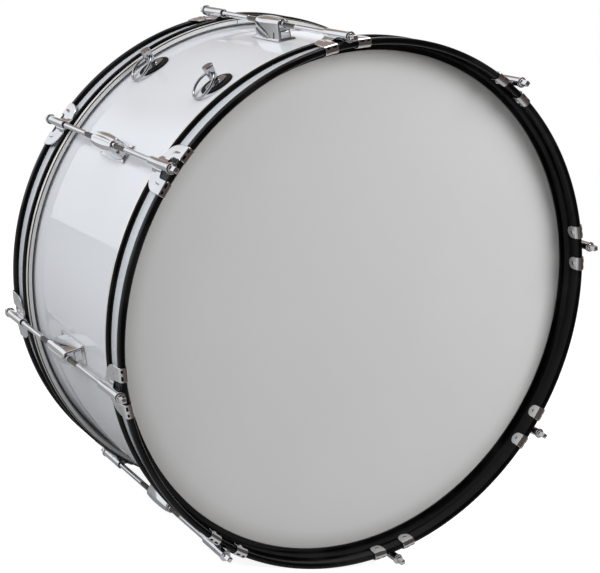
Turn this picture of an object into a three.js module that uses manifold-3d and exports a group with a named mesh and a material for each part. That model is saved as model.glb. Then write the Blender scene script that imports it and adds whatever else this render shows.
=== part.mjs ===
// Marching bass drum, 22 by 10 inch, in millimetres.
// The drum's axis lies along Y with the playing head that faces the viewer at -Y, and +Z is up.
// The origin is on the floor, below the middle of the drum, which stands on its two hoops.
import * as THREE from "three";
import { mergeVertices } from "three/addons/utils/BufferGeometryUtils.js";
import Module from "manifold-3d";

const wasm = await Module();
wasm.setup();

// Counts
const RING_STEPS = 48; // flats round each large ring, with one flat below every lug
const LUG_COUNT = 8;
const BEAD_FLATS = 8; // flats in a full turn of a hoop's bead, one of them facing out
const TUBE_STEPS = 10;
const BORE_STEPS = 8;
const ROD_STEPS = 8;
const SCREW_STEPS = 6;
const OVAL_STEPS = 16;
const LOOP_STEPS = 24;
const WIRE_STEPS = 6;

// Fits
const CLEARANCE = 0.3; // air left between pieces that touch
const SLIDING_CLEARANCE = 0.4; // air round a rod or ring that turns
const OVERCUT = 1; // how far a cutter runs past the face it opens

// Shell
const SHELL_RADIUS = 279.4;
const SHELL_DEPTH = 254;
const SHELL_WALL = 6.4;
const BEARING_CREST = 2.2; // flat crest of the bearing edge, next to the inner wall

// Heads
const FILM = 0.35;
const COLLAR_GAP = 1; // from the shell's wall out to the film's collar
const FILM_RIM = 2.5; // how far the film's rim reaches over its flesh hoop

// Flesh hoops, the metal rings that hold the film's edge
const FLESH_GAP = 3.3;
const FLESH_WALL = 5.3;
const FLESH_DEPTH = 5.7;
const FLESH_CHAMFER = 0.8;

// Hoops
const HOOP_WIDTH = 37.5;
const HOOP_BEAD_RADIUS = 3.5;
const HOOP_FRONT_BEAD_STRETCH = 2.8; // how much wider the front bead is than the rear one
const HOOP_WEB = 3.95; // wall behind the inlay
const HOOP_CHANNEL_DROP = 2; // from the middle of the beads down to the channel's floor
const HOOP_RISE = 25.7; // from the shell's edge out to the hoop's front edge
const HOOP_RIM_DEPTH = 9.6; // straight rim behind the front bead
const HOOP_LIP_THICKNESS = 1.6; // thin lip that reaches in to the edge of the head's face
const HOOP_COVE = 0.5; // hollow of the inner face
const INLAY_THICKNESS = 0.9;

// Claws
const CLAW_PLATE = 1.3;
const CLAW_SINK = 0.7; // how deep the tube sits in its plate
const CLAW_TUBE_RADIUS = 4.8;
const CLAW_TUBE_LENGTH = 42.8;
const CLAW_TUBE_OVERHANG = 2.9; // from the hoop's front edge to the tube's mouth
const CLAW_ARM_WIDTH = 15.5;
const CLAW_ARM_OFFSET = 19.5;
const CLAW_TAB_DEPTH = 9; // how far behind the front bead a tab ends
const CLAW_SADDLE_DEPTH = 35.5;
const CLAW_NOTCH_DEPTH = 14;
const CLAW_TAIL_WIDTH = 15;

// Tension rods
const ROD_RADIUS = 3;
const ROD_ENGAGEMENT = 11.6; // how far a rod reaches into its lug
const COLLAR_RADIUS = 5.8;
const COLLAR_LENGTH = 2.6;
const KEY_HEAD_SIDE = 5.4;
const KEY_HEAD_LENGTH = 10;

// Lugs
const LUG_FLANGE_LENGTH = 61;
const LUG_FLANGE_WIDTH = 22.6;
const LUG_FLANGE_THICKNESS = 2;
const LUG_BODY_LENGTH = 53;
const LUG_BODY_WIDTH = 18.6;
const LUG_END_WIDTH = 15;
const LUG_CROWN_WIDTH = 9;
const LUG_MOUTH_RADIUS = 4.8;
const LUG_MOUTH_DEPTH = 3.5;
const LUG_ROOF = 1.7; // metal over the mouth
const LUG_HOLLOW_LENGTH = 34;
const LUG_WALL = 2.2;
const LUG_SCREW_SPACING = 42;
const LUG_SCREW_RADIUS = 2.4;
const LUG_SCREW_HEAD_RADIUS = 5;
const LUG_SCREW_HEAD_LENGTH = 3.5;

// Sling eyes
const FRONT_EYE_INSET = 60.5; // from the shell's front edge to the front eye
const BACK_EYE_INSET = 42.5; // from the shell's back edge to the back eye
const GASKET_LENGTH = 36;
const GASKET_WIDTH = 32;
const GASKET_THICKNESS = 2.4;
const EYE_PLATE_LENGTH = 27;
const EYE_PLATE_WIDTH = 16;
const EYE_PLATE_THICKNESS = 1.8;
const POST_HEIGHT = 22.5;
const POST_FOOT_RADIUS = 3.6;
const POST_WAIST_RADIUS = 4.8;
const POST_TOP_RADIUS = 5.6;
const POST_TOP_THICKNESS = 2;
const POST_HOLE_HEIGHT = 14;
const STUD_RADIUS = 3;
const STUD_END = 2;
const EYE_NUT_RADIUS = 5.8;
const EYE_NUT_LENGTH = 5;
const LOOP_RADIUS = 15;
const LOOP_WIRE_RADIUS = 1.5;
const LOOP_SLACK = 0.6; // extra room in the post's hole, for the ring's bend

// Worked out from the sizes above
const FLAT_ANGLE = Math.PI / RING_STEPS;
const FLAT_SCALE = 1 / Math.cos(FLAT_ANGLE); // puts the middle of each flat on the true radius
const SHELL_INNER = SHELL_RADIUS - SHELL_WALL;
const SHELL_END = SHELL_DEPTH / 2;
const BEVEL_END = SHELL_END - (SHELL_WALL - BEARING_CREST);
const CREST_RADIUS = SHELL_INNER + BEARING_CREST;
const FILM_UNDER = SHELL_END + CLEARANCE;
const FILM_CREST = CREST_RADIUS + CLEARANCE; // edge of the head's flat face
const HOOP_LIP_INNER = FILM_CREST + CLEARANCE;
const COLLAR_INNER = SHELL_RADIUS + COLLAR_GAP;
const HOOP_INNER = COLLAR_INNER + FILM + CLEARANCE;
const HOOP_FLOOR = HOOP_INNER + HOOP_WEB;
const BEAD_LINE = HOOP_FLOOR + HOOP_CHANNEL_DROP;
const HOOP_RADIUS = BEAD_LINE + HOOP_BEAD_RADIUS;
const HOOP_RIM_RADIUS = BEAD_LINE - HOOP_BEAD_RADIUS;
const HOOP_FRONT = SHELL_END + HOOP_RISE;
const HOOP_REAR = HOOP_FRONT - HOOP_WIDTH;
const HOOP_LIP_UNDER = FILM_UNDER + FILM + CLEARANCE;
const HOOP_LIP_TOP = HOOP_LIP_UNDER + HOOP_LIP_THICKNESS;
const BEAD_FRONT = HOOP_FRONT - HOOP_BEAD_RADIUS;
const BEAD_SHOULDER = BEAD_FRONT - HOOP_FRONT_BEAD_STRETCH;
const BEAD_REAR = HOOP_REAR + HOOP_BEAD_RADIUS;
const CLAMP_UNDER = HOOP_REAR - CLEARANCE - FILM;
const FLESH_INNER = SHELL_RADIUS + FLESH_GAP;
const FLESH_OUTER = FLESH_INNER + FLESH_WALL;
const FLESH_TOP = CLAMP_UNDER - CLEARANCE;
const ROD_CIRCLE = HOOP_RADIUS + CLEARANCE + CLAW_PLATE - CLAW_SINK + CLAW_TUBE_RADIUS;
const CLAW_MOUTH = HOOP_FRONT + CLAW_TUBE_OVERHANG;
const ROD_SEAT = CLAW_MOUTH + CLEARANCE;
const ROD_INNER_END = LUG_BODY_LENGTH / 2 - ROD_ENGAGEMENT;
const LUG_BASE = SHELL_RADIUS + CLEARANCE;
const LUG_TOP = ROD_CIRCLE + LUG_MOUTH_RADIUS + LUG_ROOF;
const EYE_PLATE_BASE = SHELL_RADIUS + CLEARANCE + GASKET_THICKNESS + CLEARANCE;
const LOOP_PIVOT = SHELL_RADIUS + POST_HOLE_HEIGHT;

// How far each sling ring leans in towards the shell when it rests on it
const LOOP_REST_RADIUS = SHELL_RADIUS * FLAT_SCALE + LOOP_WIRE_RADIUS + CLEARANCE;
const LOOP_SPAN = 2 * LOOP_RADIUS;
const LOOP_LEAN = Math.asin(
  (LOOP_PIVOT ** 2 + LOOP_SPAN ** 2 - LOOP_REST_RADIUS ** 2) / (2 * LOOP_PIVOT * LOOP_SPAN),
);

// Finishes
const finish = (color, roughness, metalness) =>
  new THREE.MeshStandardMaterial({ color, roughness, metalness });
const WHITE_WRAP = finish(0xe9ecf1, 0.15, 0);
const BLACK_LACQUER = finish(0x0b0b0c, 0.18, 0);
const PALE_INLAY = finish(0xd9dee6, 0.2, 0);
const HEAD_FILM = finish(0xdcdad6, 0.5, 0);
const ALUMINIUM = finish(0xc4c5c7, 0.35, 1);
const CHROME = finish(0xe2e4e8, 0.08, 1);
const STEEL = finish(0xb4b6ba, 0.3, 1);
const BLACK_RUBBER = finish(0x121212, 0.7, 0);

// A closed three.js geometry as a solid that can be joined and cut
function solidOf(geometry) {
  const bare = geometry.clone();
  bare.deleteAttribute("normal");
  bare.deleteAttribute("uv");
  const merged = mergeVertices(bare, 1e-4);
  return new wasm.Manifold(
    new wasm.Mesh({
      numProp: 3,
      vertProperties: merged.attributes.position.array,
      triVerts: new Uint32Array(merged.index.array),
    }),
  );
}

// A solid back as a three.js geometry
function geometryOf(solid) {
  const mesh = solid.getMesh();
  return new THREE.BufferGeometry()
    .setAttribute("position", new THREE.BufferAttribute(mesh.vertProperties, 3))
    .setIndex(new THREE.BufferAttribute(mesh.triVerts, 1));
}

const joined = (...solids) => solids.reduce((all, next) => all.add(next));

// A named piece of the drum
function piece(name, solid, material) {
  const geometry = geometryOf(solid);
  geometry.computeVertexNormals();
  const mesh = new THREE.Mesh(geometry, material);
  mesh.name = name;
  return mesh;
}

// A profile turned about Y, its points given as radius and height in either order round
function turned(points, steps, start, scale) {
  const profile = points.map(([radius, height]) => new THREE.Vector2(radius * scale, height));
  if (THREE.ShapeUtils.area(profile) < 0) profile.reverse();
  const onAxis = profile.findIndex((point, i) => point.x === 0 && profile.at(i - 1).x === 0);
  const ordered = onAxis < 0 ? profile : [...profile.slice(onAxis), ...profile.slice(0, onAxis)];
  if (onAxis < 0) ordered.push(ordered[0].clone());
  return solidOf(new THREE.LatheGeometry(ordered, steps, start));
}

// A large ring or disc about the drum's axis, at the end that faces -Y
const ring = (points) =>
  turned(
    points.map(([radius, out]) => [radius, -out]),
    RING_STEPS,
    FLAT_ANGLE,
    FLAT_SCALE,
  );

const box = (width, length, height, x, y, z) =>
  solidOf(new THREE.BoxGeometry(width, length, height).translate(x, y, z));

// A cylinder along Y between two heights, with a flat facing up
const rod = (radius, from, to, x, z, steps) =>
  solidOf(
    new THREE.CylinderGeometry(radius, radius, to - from, steps)
      .rotateY(Math.PI / steps)
      .translate(x, (from + to) / 2, z),
  );

// A cutter for a hole along Y in which a round bar turns freely
const boreCutter = (barRadius, from, to, z) => {
  const radius = (barRadius + SLIDING_CLEARANCE) / Math.cos(Math.PI / BORE_STEPS);
  return rod(radius, from, to, 0, z, BORE_STEPS);
};

// A cylinder along Z
const pillar = (radius, from, to, x, y, steps) =>
  solidOf(
    new THREE.CylinderGeometry(radius, radius, to - from, steps)
      .rotateX(Math.PI / 2)
      .translate(x, y, (from + to) / 2),
  );

// An outline in X and Y, raised from one height to another
function prism(outline, from, to) {
  const shape = new THREE.Shape(outline.map(([x, y]) => new THREE.Vector2(x, y)));
  const options = { depth: to - from, bevelEnabled: false };
  return solidOf(new THREE.ExtrudeGeometry(shape, options).translate(0, 0, from));
}

// An outline in X and Z, drawn along Y from one place to another
function bar(outline, from, to) {
  const shape = new THREE.Shape(outline.map(([x, z]) => new THREE.Vector2(x, z)));
  const options = { depth: to - from, bevelEnabled: false };
  const geometry = new THREE.ExtrudeGeometry(shape, options).rotateX(Math.PI / 2);
  return solidOf(geometry.translate(0, to, 0));
}

// Points on an arc, from one angle to another
function arc(centre, radius, from, to, steps) {
  return Array.from({ length: steps + 1 }, (_, i) => {
    const angle = from + ((to - from) * i) / steps;
    return [centre[0] + radius * Math.cos(angle), centre[1] + radius * Math.sin(angle)];
  });
}

// An open path moved sideways by a distance, its corners mitred
function offsetPath(path, distance) {
  const points = path.map(([x, y]) => new THREE.Vector2(x, y));
  const normals = points.slice(1).map((point, i) => {
    const along = point.clone().sub(points[i]).normalize();
    return new THREE.Vector2(-along.y, along.x);
  });
  return points.map((point, i) => {
    const before = normals[Math.max(i - 1, 0)];
    const after = normals[Math.min(i, normals.length - 1)];
    const mitre = before.clone().add(after).normalize();
    return point.clone().addScaledVector(mitre, distance / mitre.dot(after)).toArray();
  });
}

// The corners of a bead, seen in a cut through the hoop with radius across and depth up
function beadCorners(depth, from, to) {
  const half = Math.PI / BEAD_FLATS;
  const steps = Math.round((to - from) / half / 2) - 1;
  return arc(
    [BEAD_LINE, depth],
    HOOP_BEAD_RADIUS / Math.cos(half),
    from + half,
    to - half,
    steps,
  );
}

// Shell: one tube with a bearing edge at each end and holes for the lugs and sling eyes
function shellSolid() {
  const halfProfile = [
    [SHELL_RADIUS, BEVEL_END],
    [CREST_RADIUS, SHELL_END],
    [SHELL_INNER, SHELL_END],
  ];
  const mirrored = halfProfile.map(([radius, out]) => [radius, -out]).reverse();
  return stationAngles()
    .flatMap((angle) =>
      lugScrewPlaces().map((y) => shellHole(LUG_SCREW_RADIUS, y, angle, SCREW_STEPS)),
    )
    .concat(eyePlaces().map((y) => shellHole(STUD_RADIUS, y, EYE_ANGLE, ROD_STEPS)))
    .reduce((shell, hole) => shell.subtract(hole), ring([...halfProfile, ...mirrored]));
}

function shellHole(screwRadius, y, angle, steps) {
  const drill = new THREE.CylinderGeometry(
    screwRadius + SLIDING_CLEARANCE,
    screwRadius + SLIDING_CLEARANCE,
    SHELL_WALL + 2 * OVERCUT,
    steps,
  );
  drill.rotateX(Math.PI / 2).translate(0, y, SHELL_RADIUS - SHELL_WALL / 2);
  return solidOf(drill.rotateY(angle));
}

// Head: a flat film, drawn down over the bearing edge, with a rim below the hoop's rear edge
function headSolid() {
  const rim = FLESH_INNER + FILM_RIM;
  return ring([
    [0, FILM_UNDER],
    [FILM_CREST, FILM_UNDER],
    [COLLAR_INNER, BEVEL_END],
    [COLLAR_INNER, CLAMP_UNDER],
    [rim, CLAMP_UNDER],
    [rim, CLAMP_UNDER + FILM],
    [COLLAR_INNER + FILM, CLAMP_UNDER + FILM],
    [COLLAR_INNER + FILM, BEVEL_END],
    [FILM_CREST, FILM_UNDER + FILM],
    [0, FILM_UNDER + FILM],
  ]);
}

// Flesh hoop: the metal ring below the head's rim and the hoop's rear edge
function fleshHoopSolid() {
  const rear = FLESH_TOP - FLESH_DEPTH;
  return ring([
    [FLESH_INNER, FLESH_TOP],
    [FLESH_INNER, rear],
    [FLESH_OUTER - FLESH_CHAMFER, rear],
    [FLESH_OUTER, rear + FLESH_CHAMFER],
    [FLESH_OUTER, FLESH_TOP],
  ]);
}

// Hoop: a bead round each edge, a channel between them for the inlay, and a lip inside
function hoopSolid() {
  const rimEnd = BEAD_FRONT - HOOP_RIM_DEPTH;
  const cove = [(HOOP_RIM_RADIUS + HOOP_INNER) / 2 + HOOP_COVE, (rimEnd + HOOP_LIP_TOP) / 2];
  const quarterTurn = Math.PI / 2;
  return ring([
    [HOOP_INNER, HOOP_REAR],
    ...beadCorners(BEAD_REAR, -quarterTurn, quarterTurn),
    [HOOP_FLOOR, BEAD_REAR + HOOP_BEAD_RADIUS],
    [HOOP_FLOOR, BEAD_SHOULDER - HOOP_BEAD_RADIUS],
    ...beadCorners(BEAD_SHOULDER, -quarterTurn, 0),
    ...beadCorners(BEAD_FRONT, 0, Math.PI),
    [HOOP_RIM_RADIUS, rimEnd],
    cove,
    [HOOP_INNER, HOOP_LIP_TOP],
    [HOOP_LIP_INNER, HOOP_LIP_TOP],
    [HOOP_LIP_INNER, HOOP_LIP_UNDER],
    [HOOP_INNER, HOOP_LIP_UNDER],
  ]);
}

// Inlay: the pale strip in the hoop's channel
function inlaySolid() {
  const inner = HOOP_FLOOR + CLEARANCE;
  const outer = inner + INLAY_THICKNESS;
  const front = BEAD_SHOULDER - HOOP_BEAD_RADIUS - CLEARANCE;
  const rear = BEAD_REAR + HOOP_BEAD_RADIUS + CLEARANCE;
  return ring([
    [inner, rear],
    [outer, rear],
    [outer, front],
    [inner, front],
  ]);
}

// Claw: a tube for the rod on a saddle plate, with two arms hooked over the front bead
function clawSolid() {
  const hoopFace = [
    [HOOP_RADIUS, HOOP_FRONT - CLAW_SADDLE_DEPTH],
    ...beadCorners(BEAD_FRONT, 0, Math.PI),
    [HOOP_RIM_RADIUS, BEAD_FRONT - CLAW_TAB_DEPTH],
  ];
  const wrap = ring([
    ...offsetPath(hoopFace, -CLEARANCE),
    ...offsetPath(hoopFace, -CLEARANCE - CLAW_PLATE).reverse(),
  ]);
  const armEnd = CLAW_ARM_OFFSET + CLAW_ARM_WIDTH / 2;
  const armStart = CLAW_ARM_OFFSET - CLAW_ARM_WIDTH / 2;
  const front = -HOOP_FRONT - 2 * CLAW_PLATE;
  const notch = -HOOP_FRONT + CLAW_NOTCH_DEPTH;
  const armBack = notch + 2 * CLAW_PLATE;
  const tail = -HOOP_FRONT + CLAW_SADDLE_DEPTH;
  const armLow = HOOP_RIM_RADIUS - 3 * CLAW_PLATE;
  const armHigh = ROD_CIRCLE;
  const arms = [-CLAW_ARM_OFFSET, CLAW_ARM_OFFSET].map((x) =>
    box(
      CLAW_ARM_WIDTH,
      armBack - front,
      armHigh - armLow,
      x,
      (armBack + front) / 2,
      (armHigh + armLow) / 2,
    ),
  );
  const wingShares = [0, 0.45, 0.8]; // how far down the wing each outline point lies
  const widthShares = [1, 0.9, 0.58]; // and its half width as a share of the arms' reach
  const rightEdge = wingShares.map((share, i) => [
    armEnd * widthShares[i],
    notch + (tail - notch) * share,
  ]);
  const outline = [
    [armStart, notch],
    ...rightEdge,
    [CLAW_TAIL_WIDTH / 2, tail],
    [-CLAW_TAIL_WIDTH / 2, tail],
    ...rightEdge.map(([x, y]) => [-x, y]).reverse(),
    [-armStart, notch],
    [-armStart / 2, notch + CLAW_PLATE],
    [armStart / 2, notch + CLAW_PLATE],
  ];
  const wings = prism(outline, BEAD_LINE, armHigh);
  const mouth = -CLAW_MOUTH;
  const inner = mouth + CLAW_TUBE_LENGTH;
  const tube = rod(CLAW_TUBE_RADIUS, mouth, inner, 0, ROD_CIRCLE, TUBE_STEPS);
  const bore = boreCutter(ROD_RADIUS, mouth - OVERCUT, inner + OVERCUT, ROD_CIRCLE);
  const plates = [...arms, wings].map((cutter) => wrap.intersect(cutter));
  return joined(...plates, tube).subtract(bore);
}

// Tension rod: a threaded shaft with a round collar and a square key head
function tensionRodSolid() {
  const seat = -ROD_SEAT;
  const shaft = turned(
    [
      [0, seat - COLLAR_LENGTH],
      [COLLAR_RADIUS, seat - COLLAR_LENGTH],
      [COLLAR_RADIUS, seat],
      [ROD_RADIUS, seat],
      [ROD_RADIUS, -ROD_INNER_END],
      [0, -ROD_INNER_END],
    ],
    ROD_STEPS,
    0,
    1,
  ).translate([0, 0, ROD_CIRCLE]);
  const headEnd = seat - COLLAR_LENGTH - KEY_HEAD_LENGTH;
  const headStart = seat - COLLAR_LENGTH / 2;
  const middle = (headEnd + headStart) / 2;
  const head = box(KEY_HEAD_SIDE, headStart - headEnd, KEY_HEAD_SIDE, 0, middle, ROD_CIRCLE);
  return joined(shaft, head);
}

// Lug: a hollow casting with a mouth at each end, and the two screws that hold it
function lugSolid() {
  const half = LUG_BODY_LENGTH / 2;
  const width = LUG_BODY_WIDTH / 2;
  const quarterLength = half / 2;
  const plan = [
    [LUG_END_WIDTH / 2, -half],
    [width, -quarterLength],
    [width, quarterLength],
    [LUG_END_WIDTH / 2, half],
  ];
  const mirroredPlan = plan.map(([x, y]) => [-x, y]).reverse();
  const flangeTop = LUG_BASE + LUG_FLANGE_THICKNESS;
  const shoulder = ROD_CIRCLE;
  const endView = [
    [-width, LUG_BASE],
    [width, LUG_BASE],
    [width, shoulder],
    [LUG_CROWN_WIDTH / 2, LUG_TOP],
    [-LUG_CROWN_WIDTH / 2, LUG_TOP],
    [-width, shoulder],
  ];
  const body = prism([...plan, ...mirroredPlan], LUG_BASE, LUG_TOP).intersect(
    bar(endView, -LUG_FLANGE_LENGTH, LUG_FLANGE_LENGTH),
  );
  const flangeMiddle = (LUG_BASE + flangeTop) / 2;
  const flange = box(
    LUG_FLANGE_WIDTH,
    LUG_FLANGE_LENGTH,
    LUG_FLANGE_THICKNESS,
    0,
    0,
    flangeMiddle,
  );
  const hollowWidth = LUG_END_WIDTH - 2 * LUG_WALL;
  const hollowTop = LUG_TOP - LUG_WALL;
  const hollowBottom = LUG_BASE - OVERCUT;
  const hollowMiddle = (hollowTop + hollowBottom) / 2;
  const hollowHeight = hollowTop - hollowBottom;
  const hollow = box(hollowWidth, LUG_HOLLOW_LENGTH, hollowHeight, 0, 0, hollowMiddle);
  const mouths = [-1, 1].map((side) =>
    rod(
      LUG_MOUTH_RADIUS,
      side * half - LUG_MOUTH_DEPTH,
      side * half + LUG_MOUTH_DEPTH,
      0,
      ROD_CIRCLE,
      TUBE_STEPS,
    ),
  );
  const bore = boreCutter(ROD_RADIUS, -half - OVERCUT, half + OVERCUT, ROD_CIRCLE);
  const casting = [hollow, ...mouths, bore].reduce(
    (solid, cutter) => solid.subtract(cutter),
    joined(body, flange),
  );
  return joined(casting, ...lugScrewPlaces().map(lugScrew));
}

function lugScrew(y) {
  const innerFace = SHELL_INNER - CLEARANCE;
  const shank = pillar(LUG_SCREW_RADIUS, innerFace, LUG_BASE + LUG_WALL, 0, y, SCREW_STEPS);
  const headEnd = innerFace - LUG_SCREW_HEAD_LENGTH;
  const head = pillar(LUG_SCREW_HEAD_RADIUS, headEnd, innerFace, 0, y, SCREW_STEPS);
  return joined(shank, head);
}

const lugScrewPlaces = () => [-LUG_SCREW_SPACING / 2, LUG_SCREW_SPACING / 2];

// An oval cut from a ring that follows the shell
function ovalPatch(length, width, inner, thickness) {
  const outer = inner + thickness;
  const sleeve = ring([
    [inner, -width],
    [outer, -width],
    [outer, width],
    [inner, width],
  ]);
  const outline = arc([0, 0], 1, 0, 2 * Math.PI, OVAL_STEPS).slice(1);
  const oval = outline.map(([x, y]) => [(x * length) / 2, (y * width) / 2]);
  return sleeve.intersect(prism(oval, SHELL_INNER, LOOP_PIVOT));
}

// Gasket: the black pad below a sling eye
function gasketSolid() {
  const patch = ovalPatch(
    GASKET_LENGTH,
    GASKET_WIDTH,
    SHELL_RADIUS + CLEARANCE,
    GASKET_THICKNESS,
  );
  const holeRadius = STUD_RADIUS + SLIDING_CLEARANCE;
  const hole = pillar(holeRadius, SHELL_INNER, LOOP_PIVOT, 0, 0, ROD_STEPS);
  return patch.subtract(hole);
}

// Sling post: an oval foot, a waisted post with a cross hole, and a stud through the shell
function slingPostSolid() {
  const foot = ovalPatch(EYE_PLATE_LENGTH, EYE_PLATE_WIDTH, EYE_PLATE_BASE, EYE_PLATE_THICKNESS);
  const studEnd = SHELL_INNER - CLEARANCE - EYE_NUT_LENGTH - STUD_END;
  const top = SHELL_RADIUS + POST_HEIGHT;
  const footBase = EYE_PLATE_BASE + EYE_PLATE_THICKNESS / 2;
  const post = turned(
    [
      [0, studEnd],
      [STUD_RADIUS, studEnd],
      [STUD_RADIUS, footBase],
      [POST_FOOT_RADIUS, footBase],
      [POST_WAIST_RADIUS, LOOP_PIVOT],
      [POST_TOP_RADIUS, top - POST_TOP_THICKNESS],
      [POST_TOP_RADIUS, top],
      [0, top],
    ],
    TUBE_STEPS,
    0,
    1,
  ).rotate([90, 0, 0]);
  const reach = POST_TOP_RADIUS + OVERCUT;
  const hole = boreCutter(LOOP_WIRE_RADIUS + LOOP_SLACK, -reach, reach, LOOP_PIVOT);
  return joined(foot, post).subtract(hole);
}

// Nut: holds a sling post's stud against the inside of the shell
function eyeNutSolid() {
  const top = SHELL_INNER - CLEARANCE;
  const bottom = top - EYE_NUT_LENGTH;
  const boreRadius = STUD_RADIUS + CLEARANCE;
  const hole = pillar(boreRadius, bottom - OVERCUT, top + OVERCUT, 0, 0, ROD_STEPS);
  return pillar(EYE_NUT_RADIUS, bottom, top, 0, 0, SCREW_STEPS).subtract(hole);
}

// Ring: a round wire loop through the post's hole, drawn beside its pivot
function loopSolid() {
  const torus = new THREE.TorusGeometry(LOOP_RADIUS, LOOP_WIRE_RADIUS, WIRE_STEPS, LOOP_STEPS);
  return solidOf(torus.translate(-LOOP_RADIUS, 0, 0));
}

// Places round and along the shell
const stationAngles = () =>
  Array.from({ length: LUG_COUNT }, (_, i) => ((i + 0.5) * 2 * Math.PI) / LUG_COUNT);
const EYE_ANGLE = -Math.PI / 4;
const eyePlaces = () => [FRONT_EYE_INSET - SHELL_END, SHELL_END - BACK_EYE_INSET];

// A group at an angle about the drum's axis, clockwise from the top as seen from the front
function station(angle, ...children) {
  const group = new THREE.Group();
  group.rotation.y = angle;
  group.add(...children);
  return group;
}

// Pieces made for the front, turned to face the back
function turnedToBack(...children) {
  const group = new THREE.Group();
  group.rotation.z = Math.PI;
  group.add(...children);
  return group;
}

// Everything on one end of the drum, named by that end
function endPieces(end) {
  const rings = [
    piece(end + "_head", headSolid(), HEAD_FILM),
    piece(end + "_flesh_hoop", fleshHoopSolid(), ALUMINIUM),
    piece(end + "_hoop", hoopSolid(), BLACK_LACQUER),
    piece(end + "_hoop_inlay", inlaySolid(), PALE_INLAY),
  ];
  const claw = clawSolid();
  const tensionRod = tensionRodSolid();
  const stations = stationAngles().map((angle, i) =>
    station(
      angle,
      piece(`${end}_claw_${i + 1}`, claw, CHROME),
      piece(`${end}_tension_rod_${i + 1}`, tensionRod, CHROME),
    ),
  );
  return [...rings, ...stations];
}

function slingEye(name, y) {
  const loop = piece(name + "_sling_ring", loopSolid(), CHROME);
  loop.position.set(0, y, LOOP_PIVOT);
  loop.rotation.y = -LOOP_LEAN;
  const seated = new THREE.Group();
  seated.position.y = y;
  seated.add(
    piece(name + "_sling_gasket", gasketSolid(), BLACK_RUBBER),
    piece(name + "_sling_post", slingPostSolid(), CHROME),
    piece(name + "_sling_nut", eyeNutSolid(), STEEL),
  );
  return station(EYE_ANGLE, seated, loop);
}

function drum() {
  const body = new THREE.Group();
  body.position.z = HOOP_RADIUS;
  body.add(piece("shell", shellSolid(), WHITE_WRAP));
  body.add(...endPieces("front"));
  body.add(turnedToBack(...endPieces("back")));
  const lug = lugSolid();
  stationAngles().forEach((angle, i) => {
    body.add(station(angle, piece(`lug_${i + 1}`, lug, CHROME)));
  });
  const names = ["front", "back"];
  eyePlaces().forEach((y, i) => body.add(slingEye(names[i], y)));
  const whole = new THREE.Group();
  whole.add(body);
  return whole;
}

export default drum();
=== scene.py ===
"""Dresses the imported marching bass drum: smooth surfaces, finishes, light and the photo's camera."""

import itertools
import logging
import math
from collections.abc import Callable, Sequence
from dataclasses import dataclass, field
from enum import Enum

import bpy
import numpy as np
from mathutils import Matrix, Vector
from numpy.typing import NDArray

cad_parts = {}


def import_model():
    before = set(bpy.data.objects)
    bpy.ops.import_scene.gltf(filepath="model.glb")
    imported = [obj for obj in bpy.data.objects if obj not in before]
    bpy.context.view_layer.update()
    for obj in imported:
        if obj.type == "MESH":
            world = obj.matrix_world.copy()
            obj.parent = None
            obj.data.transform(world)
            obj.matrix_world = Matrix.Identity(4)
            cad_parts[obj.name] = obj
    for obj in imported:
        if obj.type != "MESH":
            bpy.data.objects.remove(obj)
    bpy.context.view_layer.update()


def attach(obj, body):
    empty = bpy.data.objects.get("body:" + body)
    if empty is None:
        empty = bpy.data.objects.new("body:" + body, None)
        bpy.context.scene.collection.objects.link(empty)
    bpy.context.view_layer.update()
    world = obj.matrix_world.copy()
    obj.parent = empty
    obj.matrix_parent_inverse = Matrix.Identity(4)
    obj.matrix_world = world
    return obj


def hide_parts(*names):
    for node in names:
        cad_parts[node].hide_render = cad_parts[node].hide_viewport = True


log = logging.getLogger("drum")

Points = NDArray[np.float64]
Faces = list[NDArray[np.int64]]
Socket = bpy.types.NodeSocket
Feeds = dict[str, Socket]

MM = 0.001
STATIONS = 8
SHARP_ANGLE = math.radians(38)
STRAIGHT = math.radians(89.5)  # half the angle past which a corner isn't rounded
LONGEST_CUT = 0.49  # how much of a side one rounded corner may take


class End(Enum):
    """The two ends of the drum. The front faces the camera."""

    FRONT = "front"
    BACK = "back"


class Slot(Enum):
    """The record's material slots."""

    SHELL = "white_shell"
    HEAD = "head_film"
    FLESH_HOOP = "flesh_hoop"
    HOOP = "black_hoop"
    INLAY = "pale_inlay"
    CHROME = "chrome"
    RUBBER = "black_rubber"
    STEEL = "steel"


# Surfaces


@dataclass
class Surface:
    """A set of closed surfaces in millimetres.

    Attributes:
        points: Vertices, one row each.
        faces: Arrays of vertex numbers, each with faces of one size.
    """

    points: Points = field(default_factory=lambda: np.zeros((0, 3)))
    faces: Faces = field(default_factory=list)

    def outward(self) -> "Surface":
        """Turns the faces round if they point inwards, going by the signed volume.

        Returns:
            The surface itself.
        """
        volume = 0.0
        for block in self.faces:
            corners = self.points[block]
            for i in range(1, block.shape[1] - 1):
                a, b, c = corners[:, 0], corners[:, i], corners[:, i + 1]
                volume += float(np.einsum("ij,ij->i", a, np.cross(b, c)).sum())
        if volume < 0:
            self.faces = [block[:, ::-1] for block in self.faces]
        return self

    def plus(self, *others: "Surface") -> "Surface":
        """Returns this surface and the others as one.

        Args:
            others: The surfaces to add.

        Returns:
            One surface.
        """
        points, faces, start = [self.points], list(self.faces), len(self.points)
        for other in others:
            points.append(other.points)
            faces += [block + start for block in other.faces]
            start += len(other.points)
        return Surface(np.concatenate(points), faces)

    def mapped(self, change: Callable[[Points], Points]) -> "Surface":
        """Returns a copy with its points changed by a function, still facing out."""
        return Surface(change(self.points), [block.copy() for block in self.faces]).outward()


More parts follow.
